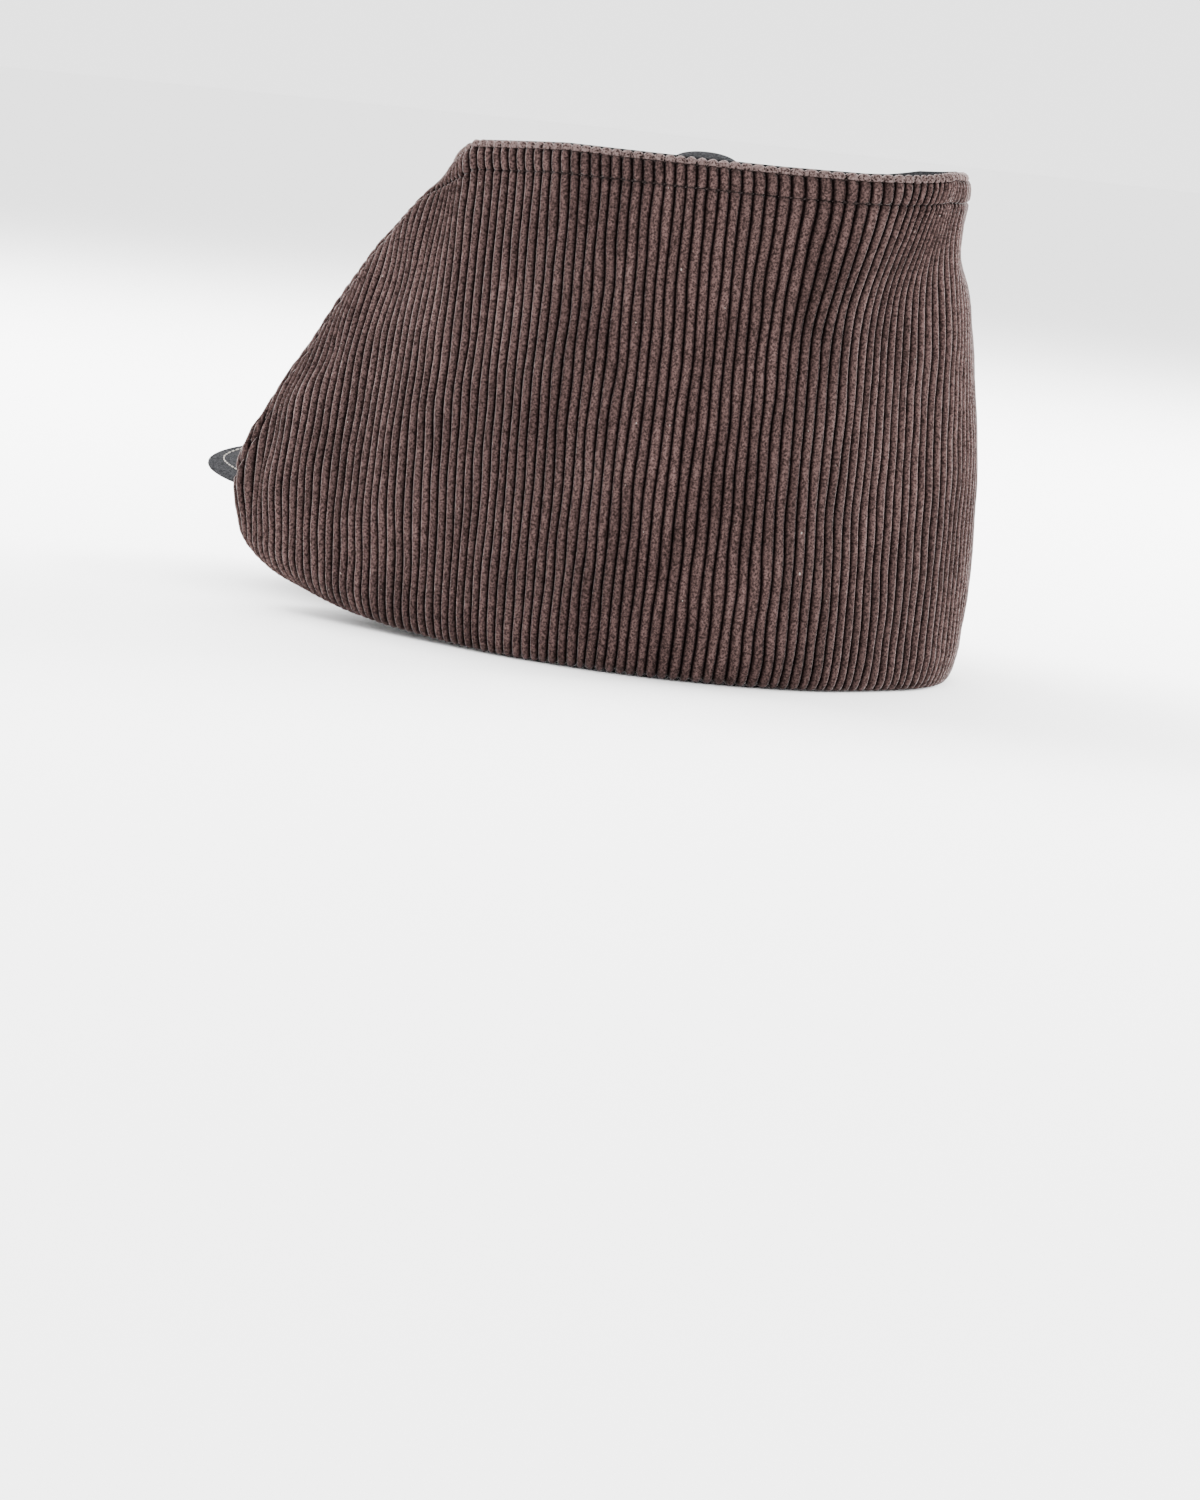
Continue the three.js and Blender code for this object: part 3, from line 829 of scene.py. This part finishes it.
def thread_material(name, colour):
    """Twisted thread, with painted shade meant for the grooves between its plies, laid as fine noise."""
    material, net, shader, place = new_material(name, 0.7, 0.3, 0.5, (1.0, 1.0, 1.0))
    plies = net.noise(place, 3200.0, 1.0)
    # Painted shade: the thread's colour at 0.62 stands in for the shade between the plies
    twisted = net.mix_colour(net.smooth_range(plies, 0.35, 0.65), darkened(colour, 0.62), colour)
    dress(net, shader, twisted, 0.6, 0.1, plies)
    return material


def material(name):
    """A cloth or thread material by name, made when it is first asked for."""
    return bpy.data.materials.get(name) or MATERIALS[name]()


MATERIALS = {
    "brown corduroy": corduroy_material,
    "charcoal wool": lambda: wool_material("charcoal wool"),
    # Painted shade: the facing inside the flap is the charcoal wool darkened to three quarters
    "facing wool": lambda: wool_material("facing wool", 0.75),
    "hem thread": lambda: thread_material("hem thread", bpy.context.scene.cap_stitch.hem_thread),
    "peak thread": lambda: thread_material("peak thread", bpy.context.scene.cap_stitch.peak_thread),
}


def rib_columns(pitch, half_length):
    """Distances along the cloth: more of them at the edges of each rib than on its top."""
    phases = np.array([0.0, 0.11, 0.27, 0.5, 0.73, 0.89])
    ribs = np.arange(-math.floor(half_length / pitch), math.floor(half_length / pitch))
    inside = ((ribs[:, None] + phases) * pitch).ravel()
    return np.concatenate([[-half_length], inside, [ribs[-1] * pitch + pitch, half_length]])


def quarter_turn(count):
    return np.linspace(0, math.pi / 2, count)


def lower_stations(leg_share, turn_count, wall_shares):
    """Stations from the seam down the leg, round the fold and up the wall."""
    stations = [("leg", 0.0), ("leg", leg_share)]
    stations += [("turn_in", angle) for angle in quarter_turn(6)]
    stations += [("turn_out", angle) for angle in quarter_turn(turn_count)[::-1]]
    return stations + [("wall", share) for share in wall_shares]


def flap_stations(edge_line, hem_line, wall_steps):
    """Stations up the corduroy's face, closer together where the hem is sewn."""
    stations = lower_stations(0.5, 7, np.linspace(0, 1, wall_steps + 1)[1:-1])
    sewn = [hem_line + offset for offset in (1.0, 0.5, 0, -0.5, -1.0)]
    sewn += [edge_line + offset for offset in (0.5, 0, -0.5)]
    drops = {HEM_ZONE, 9.8, 5.6, 4.0, 2.9, *(round(float(drop), 3) for drop in sewn)}
    return stations + [("hem", drop) for drop in sorted(drops, reverse=True)]


def dent_height(along, up):
    """How far the flap's outer face stands proud of its plain shape, in millimetres."""
    total = 0.7 * ripple(along, up, 11, 46) + 0.25 * ripple(along, up, 12, 21)
    for dent in FLAP_DENTS:
        across = along - dent.side * (dent.along - dent.lean * (up - dent.up))
        total = total + dent.depth * bell(across, dent.spread_along) * bell(up - dent.up, dent.spread_up)
    return total


def hem_softness(drop):
    """Share of the dents that is left in the hem at a distance under the rim."""
    return HEM_SOFTNESS_AT_RIM + (1 - HEM_SOFTNESS_AT_RIM) * drop / HEM_ZONE


def soft_height(shape, station, along, height):
    """The dents at one station, which fade out to the ends, the fold and the hem."""
    kind, amount = station
    shares = {"wall": 1.0, "hem": hem_softness(amount), "turn_out": 1 - 2 * amount / math.pi}
    return shares.get(kind, 0.0) * end_fade(shape, along) * dent_height(along, height)


def end_fade(shape, along):
    return bell(np.maximum(0, np.abs(along) - (shape.half_length - END_FADE_ROOM)), END_FADE_WIDTH)


def edge_lean(along, share):
    """How far the cloth near the sloping edge has moved towards the back."""
    columns = np.array(LEAN_ROWS, float).T
    shift = smooth_column(columns[0], columns[1], np.abs(along))
    t = np.clip((share - LEAN_START_SHARE) / (LEAN_END_SHARE - LEAN_START_SHARE), 0, 1)
    return np.sign(along) * shift * t**2 * (3 - 2 * t)


def rib_wander(along, height, pitch):
    """How far each groove wanders by itself, from -1 to 1, and the cloth between two of them."""
    place = along / pitch
    left = np.floor(place).astype(int)
    share = place - left
    first = left.min()
    random = np.random.default_rng(21)
    phases = random.uniform(0, 2 * math.pi, (3, left.max() - first + 2))

    def wander(groove):
        waves = [np.sin(height / length + phase[groove - first])
                 for phase, length in zip(phases, (9.5, 5.2, 2.9))]
        return (waves[0] + 0.7 * waves[1] + 0.4 * waves[2]) / 2.1

    return (1 - share) * wander(left) + share * wander(left + 1)


def leaned(shape, station, along, height):
    """Where the cloth at a place was, before it moved near the sloping edge."""
    if station[0] not in ("wall", "hem"):
        return along
    return along - edge_lean(along, shape.wall_share(along, height))


def ribs_at(shape, station, along, height):
    """Distances along the cloth of the ribs' lines at one station, as they sway and lean."""
    settings = bpy.context.scene.cap_flap
    kind, amount = station
    sway = settings.sway / MM * ripple(along, height, 5, 70) + 0.3 * ripple(along, height, 6, 24)
    sway = sway + settings.wander / MM * rib_wander(along, height, settings.rib_pitch / MM)
    if kind == "hem":
        above_stitching = 1 - np.clip((amount - 1) / (settings.hem_depth / MM - 1), 0, 1)
        sway = sway * (amount / HEM_ZONE) + 0.5 * above_stitching
    here = along + sway * end_fade(shape, along)
    return leaned(shape, station, np.clip(here, -shape.half_length, shape.half_length), height)


# The corduroy's plain back, from the rim down, round the fold and up to the seam
CORDUROY_BACK_STATIONS = [
    ("hem", 2.0), ("hem", 8.0),
    *(("wall", share) for share in (0.95, 0.88, 0.8, 0.7, 0.55, 0.4, 0.2)),
    ("turn_out", 0.0), ("turn_out", 0.8), ("turn_out", math.pi / 2),
    ("turn_in", math.pi / 2), ("turn_in", 0.7), ("turn_in", 0.0), ("leg", 0.0),
]


def flap_mesh(shape):
    """Corduroy: fine columns on the outer face for its ribs, and a plain back."""
    settings = bpy.context.scene.cap_flap
    edge_line = settings.edge_stitch / MM
    hem_line = settings.hem_depth / MM
    along = rib_columns(settings.rib_pitch / MM, shape.half_length)
    stations = flap_stations(edge_line, hem_line, 44)
    rounding = np.clip((np.abs(along) - (shape.half_length - END_ROUNDING)) / END_ROUNDING, 0, 1)
    end_inset = END_ROUNDING_DEPTH * (1 - np.sqrt(1 - rounding**2))
    clearance = settings.rib_height / MM * (1 + settings.pile_roughness)
    grid, pile, fringe = [], [], []
    for station in stations:
        kind, amount = station
        height = shape.points(along, station, 0)[:, 2]
        here = ribs_at(shape, station, along, height)
        pressed = plump = frayed = 0.0
        if kind == "hem":
            pressed = bell(amount - edge_line, 0.45) * 0.75 + bell(amount - hem_line, 0.5)
            plump = 0.5 * bell(amount - 0.5 * (edge_line + hem_line), 2.6)
            frayed = np.clip((edge_line + 0.2 - amount) / 0.6, 0, 1)
        soft = soft_height(shape, station, along, height)
        roll = RIB_ROLL * math.sin(amount) if kind in ("turn_in", "turn_out") else 0
        depth = CORDUROY_FACE_DEPTH + roll + end_inset + STITCH_SINK * pressed - plump - soft
        grid.append(above_ground(shape.points(here, station, depth), station, clearance))
        pile.append((1 - 0.62 * np.clip(pressed, 0, 1)) * (1 - 0.85 * rounding))
        fringe.append(np.full(len(along), frayed))
    last_drop = stations[-1][1]
    for angle in quarter_turn(5)[1:]:
        drop = last_drop * (1 - math.sin(angle))
        inward = CORDUROY_FACE_DEPTH + RIM_REACH * (1 - math.cos(angle)) + 0.5 * end_inset
        grid.append(shape.points(here, ("hem", drop), inward))
        pile.append(np.full(len(along), 1 - 0.35 * angle / (math.pi / 2)))
        fringe.append(np.ones(len(along)))
    outer_count = len(grid)
    for station in CORDUROY_BACK_STATIONS:
        height = shape.points(along, station, 0)[:, 2]
        depth = CORDUROY_BACK_DEPTH - np.minimum(soft_height(shape, station, along, height), 0)
        grid.append(shape.points(leaned(shape, station, along, height), station, depth))
        pile.append(np.zeros(len(along)))
        fringe.append(np.zeros(len(along)))
    loops = np.stack(grid, axis=1)
    uv = cloth_uv(loops, along)
    mesh = closed_strip_mesh("flap_corduroy_ribbed", loops, uv, outer_count)
    whole_ribs = math.ceil(shape.half_length * MM / settings.rib_pitch)
    point_values(mesh, "along", uv[..., 0] * MM + whole_ribs * settings.rib_pitch)
    point_values(mesh, "pile", np.stack(pile, axis=1))
    point_values(mesh, "fringe", np.stack(fringe, axis=1))
    return mesh, float(uv[len(along) // 2, outer_count - 1, 1])


def above_ground(points, station, clearance):
    """Keeps the cloth and its ribs from dipping under the surface that it stands on."""
    kind, amount = station
    lowest = clearance * math.sin(amount) if kind in ("turn_in", "turn_out") else 0.0
    points[..., 2] = np.maximum(points[..., 2], lowest)
    return points


class CAP_OT_flap(bpy.types.Operator):
    """Make the ribbed corduroy flap"""

    bl_idname = "cap.flap"
    bl_label = "Corduroy flap"

    def execute(self, context):
        settings = context.scene.cap_flap
        shape = FlapShape()
        base, height = flap_mesh(shape)
        ribbed = with_geometry_nodes(base, rib_tree(), {
            "Rib Pitch": settings.rib_pitch,
            "Rib Height": settings.rib_height,
            "Pile Roughness": settings.pile_roughness,
            "Seed": 7,
            "Material": material("brown corduroy"),
        })
        piece = new_piece("flap_corduroy_ribbed", ribbed,
                          material("brown corduroy"), ["flap_corduroy"])
        return {"FINISHED"}


class CAP_OT_facing(bpy.types.Operator):
    """Make the wool facing of the flap, the face that shows behind the rim"""

    bl_idname = "cap.facing"
    bl_label = "Wool facing"

    def execute(self, context):
        shape = FlapShape()
        end = shape.half_length - 1.0
        along = np.linspace(-end, end, 251)
        stations = lower_stations(0.6, 6, np.linspace(0, 1, 31)[1:])
        stations += [("hem", drop) for drop in (10, 8.6, 7.6, 6.6, 5, 3.4, 2.2, 1, -0.4)]
        face, back = [], []
        for station in stations:
            kind, amount = station
            pressed = bell(amount - FACING_STITCH_DROP, 0.8) if kind == "hem" else 0
            height = shape.points(along, station, 0)[:, 2]
            depth = FACING_DEPTH - np.minimum(soft_height(shape, station, along, height), 0)
            back.append(shape.points(along, station, depth))
            inside = depth + FACING_THICK - 0.4 * pressed + 0.25 * ripple(along, height, 31, 40)
            face.append(shape.points(along, station, inside))
        tops = [(-0.6, 3.3), (-0.75, 2.8), (-0.6, 2.3)]
        over = [shape.points(along, ("hem", drop), depth + 0 * along) for drop, depth in tops]
        loops = np.stack(face + over + back[::-1], axis=1)
        uv = cloth_uv(loops, along)
        mesh = closed_strip_mesh("flap_facing_wool", loops, uv, len(face) + len(over))
        piece = new_piece("flap_facing_wool", mesh, material("facing wool"),
                          ["flap_facing"])
        height = float(uv[len(along) // 2, len(face), 1])
        return {"FINISHED"}


class CAP_OT_crown(bpy.types.Operator):
    """Make the six wool panels of the crown, pressed along their seams"""

    bl_idname = "cap.crown"
    bl_label = "Crown panels"

    def execute(self, context):
        wedge = 2 * math.pi / len(CROWN_PANELS)
        tip = math.acos(CROWN_TIP_SCALE ** (CROWN_DOME_POWER / 2))
        rises = np.linspace(0, tip, 44)
        edges = np.array([0, 0.006, 0.018, 0.04, 0.075])
        shares = np.concatenate([edges, np.linspace(0.12, 0.88, 22), 1 - edges[::-1]])
        for index, side in enumerate(CROWN_PANELS):
            middle = crown_point(wedge * (index + 0.5) + 0 * rises, rises, 0)
            radius = np.hypot(middle[:, 0], middle[:, 1] - CROWN_CENTRE_Y)
            gap = SEAM_OPENING / 2 / np.maximum(radius, CROWN_HALF_WIDTH * CROWN_TIP_SCALE)
            face, back = [], []
            for share in shares:
                angle = wedge * index + gap + (wedge - 2 * gap) * share
                to_seam = np.minimum(share, 1 - share) * wedge * radius
                pressed = 0.9 * bell(to_seam, 1.3) + 0.35 * bell(to_seam - 5.5, 1.6)
                plain = crown_point(angle, rises, 0)
                soft = 0.5 * ripple(plain[:, 0] + plain[:, 2], plain[:, 1], 41, 60)
                face.append(crown_point(angle, rises, pressed - soft * bell(rises - 0.8, 0.7)))
                back.append(crown_point(angle, rises, CROWN_THICK + 0.2 * bell(to_seam, 4)))
            self.panel(f"crown_{side}_wool", np.array(face), np.array(back), side)
        return {"FINISHED"}

    def panel(self, name, face, back, side):
        loops = np.concatenate([face, back[:, ::-1]], axis=1)
        across = np.cumsum(np.linalg.norm(np.diff(face[:, 0], axis=0, prepend=face[:1, 0]), axis=1))
        uv = cloth_uv(loops, across)
        mesh = closed_strip_mesh(name, loops, uv, face.shape[1])
        new_piece(name, mesh, material("charcoal wool"), [f"crown_panel_{side}"])


def peak_edge(share):
    """The peak's outer edge, where share runs from -1 at the right root corner to 1 at the left."""
    count = len(PEAK_ROWS) - 1
    places = np.arange(-count, count + 1, dtype=float)
    columns = []
    for name, sign in (("x", -1), ("y", 1), ("z", 1)):
        values = np.array([getattr(row, name) for row in PEAK_ROWS], float)
        columns.append(smooth_column(places, np.concatenate([sign * values[:-1], values[::-1]]),
                                     share * count))
    return np.stack(columns, axis=-1)


def peak_point(share, out, lift=0.0):
    """A point of the peak's upper face from its root, out 0, to its edge, out 1."""
    angle = math.pi - share * (math.pi - PEAK_CORNER_ANGLE)
    x, y = crown_plan(angle, 1.0, PEAK_TUCK)
    root_y = CROWN_CENTRE_Y + y
    root = np.stack([x, root_y, headline_z(root_y) + PEAK_ROOT_ABOVE_HEADLINE], axis=-1)
    edge = peak_edge(share)
    point = root + (edge - root) * np.asarray(out)[..., None]
    arch = PEAK_BULGE * np.sin(math.pi * np.asarray(out)) * (1 - share**2)
    point[..., 2] += arch + lift
    return point


def peak_stitch_out(share):
    """How far out the row of stitches lies at a place round the peak."""
    root = peak_point(share, 0 * share)
    length = np.linalg.norm(peak_edge(share) - root, axis=-1)
    return np.clip(1 - PEAK_STITCH_INSET / np.maximum(length, 0.1), 0, 1)


class CAP_OT_peak(bpy.types.Operator):
    """Make the wool peak with its rounded edge"""

    bl_idname = "cap.peak"
    bl_label = "Peak"

    def execute(self, context):
        shares = np.sin(np.linspace(-1, 1, 121) * math.pi / 2)
        root = peak_point(shares, 0 * shares)
        length = np.linalg.norm(peak_edge(shares) - root, axis=-1)
        radius = PEAK_THICK / 2
        start = 1 - radius / np.maximum(length, 2 * radius)
        face, under, rim = [], [], []
        for amount in np.linspace(0, 1, 27):
            out = amount**0.8 * start
            to_stitch = (1 - out) * length - PEAK_STITCH_INSET
            sunk = 0.45 * bell(to_stitch, 0.9) + 0.15 * ripple(root[:, 0], out * length, 51, 30)
            face.append(peak_point(shares, out, -sunk))
            under.append(peak_point(shares, out, -PEAK_THICK + 0.3 * bell(to_stitch, 0.9)))
        for angle in np.linspace(0, math.pi, 9)[1:-1]:
            out = start + (1 - start) * math.sin(angle)
            rim.append(peak_point(shares, out, -radius * (1 - math.cos(angle))))
        loops = np.stack(face + rim + under[::-1], axis=1)
        uv = cloth_uv(loops, root[:, 0])
        mesh = closed_strip_mesh("peak_wool", loops, uv, len(face) + len(rim) // 2)
        new_piece("peak_wool", mesh, material("charcoal wool"), ["peak"])
        return {"FINISHED"}


class CAP_OT_button(bpy.types.Operator):
    """Make the covered button, its cloth gathered at the edge"""

    bl_idname = "cap.button"
    bl_label = "Covered button"

    def execute(self, context):
        low, high = (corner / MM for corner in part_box("crown_button"))
        radius = (high.x - low.x) / 2
        height = high.z - low.z
        centre = Vector(((low.x + high.x) / 2, (low.y + high.y) / 2))
        around = np.linspace(0, 2 * math.pi, 97)[:-1]
        rings = []
        for climb in np.linspace(-BUTTON_UNDERCUT, math.pi / 2, 20)[:-1]:
            gathers = BUTTON_GATHER_DEPTH * np.sin(BUTTON_GATHERS * around + 0.7)
            reach = radius * math.cos(climb) ** 0.9 + gathers * bell(climb, BUTTON_UNDERCUT)
            if climb > 0:
                z = low.z + BUTTON_BAND + (height - BUTTON_BAND) * math.sin(climb)
            else:
                z = low.z + BUTTON_BAND * (1 + climb / BUTTON_UNDERCUT)
            rings.append(np.stack([
                centre.x + reach * np.cos(around), centre.y + reach * np.sin(around), 0 * around + z,
            ], axis=-1))
        count = len(around)
        top = np.array([[centre.x, centre.y, high.z]])
        bottom = np.array([[centre.x, centre.y, low.z]])
        points = np.concatenate([*rings, top, bottom])
        faces = []
        for ring in range(len(rings) - 1):
            here, above = ring * count, (ring + 1) * count
            for i in range(count):
                j = (i + 1) % count
                faces.append((here + i, here + j, above + j, above + i))
        last = (len(rings) - 1) * count
        crest, base = len(points) - 2, len(points) - 1
        for i in range(count):
            j = (i + 1) % count
            faces.append((last + i, last + j, crest))
            faces.append((j, i, base))
        mesh = bpy.data.meshes.new("button_wool")
        mesh.from_pydata(points * MM, [], faces)
        mesh.shade_smooth()
        new_piece("button_wool", mesh, material("charcoal wool"), ["crown_button"])
        return {"FINISHED"}


def stitch_row(name, points, thread, share_sewn=0.78):
    """A row of stitches along a line of points in millimetres."""
    settings = bpy.context.scene.cap_stitch
    curve = bpy.data.curves.new(name, "CURVE")
    curve.dimensions = "3D"
    spline = curve.splines.new("POLY")
    spline.points.add(len(points) - 1)
    spline.points.foreach_set("co", np.concatenate(
        [points * MM, np.ones((len(points), 1))], axis=1).astype(np.float32).ravel())
    mesh = with_geometry_nodes(curve, stitch_tree(), {
        "Stitch Length": settings.stitch_length,
        "Thread Radius": settings.thread_radius,
        "Share Sewn": share_sewn,
        "Seed": 3,
        "Material": material(thread),
    })
    mesh.name = name
    return new_piece(name, mesh, material(thread))


class CAP_OT_stitching(bpy.types.Operator):
    """Sew the two rows of the flap's hem and the row round the peak"""

    bl_idname = "cap.stitching"
    bl_label = "Topstitching"

    def execute(self, context):
        settings = context.scene.cap_flap
        shape = FlapShape()
        along = np.linspace(-shape.half_length + 2, shape.half_length - 2, 1200)
        for name, drop in (("hem_stitches_lower", settings.hem_depth / MM),
                           ("hem_stitches_upper", settings.edge_stitch / MM)):
            height = shape.points(along, ("hem", drop), 0)[:, 2]
            soft = dent_height(along, height) * hem_softness(drop)
            depth = CORDUROY_FACE_DEPTH + STITCH_SINK - THREAD_PROUD - soft
            line = shape.points(along, ("hem", drop), depth)
            stitch_row(name, line, "hem thread", 0.85)
        shares = np.linspace(-0.985, 0.985, 600)
        shares = shares[peak_stitch_out(shares) > 0.03]
        line = peak_point(shares, peak_stitch_out(shares), -0.25)
        stitch_row("peak_stitches", line, "peak thread")
        return {"FINISHED"}


# Camera: the photo's view of the cap, measured for an image of 1200 by 1500
VIEW_TILT_DEG = 8.5
VIEW_DISTANCE = 1300
VIEW_SCALE_PX = 3.6167
VIEW_CENTRE_PX = 600
IMAGE_CENTRE_PX = 750
CAMERA_PLACE = (994.6, 996.4, 156.6)
CAMERA_LEVEL = (-0.7071, -0.6993, -0.1045)


class CAP_OT_stage(bpy.types.Operator):
    """Set up the floor, the lights and the camera"""

    bl_idname = "cap.stage"
    bl_label = "Stage"

    def execute(self, context):
        settings = context.scene.cap_stage
        self.floor()
        self.world(settings.backdrop)
        self.area_light("left_softbox", (0.25, -1.5, 1.2), (1.2, 1.4), settings.side_light)
        self.area_light("right_softbox", (-1.6, 0.45, 0.7), (1.2, 1.4), settings.side_light)
        self.area_light("back_softbox", (-0.9, -0.9, 1.5), (1.6, 1.0), settings.back_light)
        self.area_light("key_softbox", (1.3, 1.3, 1.5), (1.2, 0.8), settings.key_light)
        self.camera(settings.lens)
        return {"FINISHED"}

    def floor(self):
        mesh = bpy.data.meshes.new("floor")
        half = 20.0
        mesh.from_pydata([(-half, -half, 0), (half, -half, 0), (half, half, 0), (-half, half, 0)],
                         [], [(0, 1, 2, 3)])
        floor = scene_object("floor", mesh)
        pale = bpy.data.materials.new("pale floor")
        pale.use_nodes = True
        shader = pale.node_tree.nodes["Principled BSDF"]
        shader.inputs["Base Color"].default_value = (0.93, 0.93, 0.93, 1)
        shader.inputs["Roughness"].default_value = 0.8
        mesh.materials.append(pale)

    def world(self, strength):
        world = bpy.data.worlds.new("white studio")
        bpy.context.scene.world = world
        world.use_nodes = True
        background = world.node_tree.nodes["Background"]
        background.inputs["Color"].default_value = (1, 1, 1, 1)
        background.inputs["Strength"].default_value = strength

    def area_light(self, name, place, size, power):
        light = bpy.data.lights.new(name, "AREA")
        light.shape = "RECTANGLE"
        light.size, light.size_y = size
        light.energy = power
        lamp = scene_object(name, light)
        aim = Vector((0, 0.02, 0.08))
        lamp.location = place
        lamp.rotation_mode = "QUATERNION"
        lamp.rotation_quaternion = (aim - Vector(place)).to_track_quat("-Z", "Y")

    def camera(self, lens):
        forward = Vector(CAMERA_LEVEL).normalized()
        tilt = math.radians(VIEW_TILT_DEG)
        up = Vector((0, -math.sin(tilt), math.cos(tilt)))
        up = (up - forward * up.dot(forward)).normalized()
        drop = math.atan((IMAGE_CENTRE_PX - VIEW_CENTRE_PX) / (VIEW_SCALE_PX * VIEW_DISTANCE))
        aim = forward * math.cos(drop) - up * math.sin(drop)
        top = up * math.cos(drop) + forward * math.sin(drop)
        side = aim.cross(top)
        camera = scene_object("camera", bpy.data.cameras.new("camera"))
        camera.data.lens = lens
        camera.data.sensor_width = 36
        camera.data.clip_start = 0.05
        camera.data.clip_end = 60
        turn = Matrix((side, top, -aim)).transposed().to_4x4()
        camera.matrix_world = Matrix.Translation(Vector(CAMERA_PLACE) * MM) @ turn
        bpy.context.scene.camera = camera


class CAP_PT_panel(bpy.types.Panel):
    """Lists the cap's pieces and their sizes"""

    bl_idname = "CAP_PT_panel"
    bl_label = "Riding cap"
    bl_space_type = "VIEW_3D"
    bl_region_type = "UI"
    bl_category = "Riding cap"

    def draw(self, context):
        for name in OPERATORS:
            self.layout.operator(f"cap.{name}")
        for group in (context.scene.cap_flap, context.scene.cap_wool,
                      context.scene.cap_stitch, context.scene.cap_stage):
            box = self.layout.box()
            for name in group.bl_rna.properties.keys():
                if name not in ("rna_type", "name"):
                    box.prop(group, name)


OPERATORS = ("stage", "crown", "button", "peak", "flap", "facing", "stitching")
CLASSES = (
    FlapSettings, WoolSettings, StitchSettings, StageSettings,
    CAP_OT_stage, CAP_OT_crown, CAP_OT_button, CAP_OT_peak, CAP_OT_flap, CAP_OT_facing,
    CAP_OT_stitching, CAP_PT_panel,
)
GROUPS = {
    "cap_flap": FlapSettings,
    "cap_wool": WoolSettings,
    "cap_stitch": StitchSettings,
    "cap_stage": StageSettings,
}


def register():
    for made in CLASSES:
        bpy.utils.register_class(made)
    for name, group in GROUPS.items():
        setattr(bpy.types.Scene, name, PointerProperty(type=group))


def unregister():
    for name in GROUPS:
        delattr(bpy.types.Scene, name)
    for made in reversed(CLASSES):
        bpy.utils.unregister_class(made)


def main():
    register()
    for name in OPERATORS:
        getattr(bpy.ops.cap, name)()


if __name__ == "__main__":
    main()
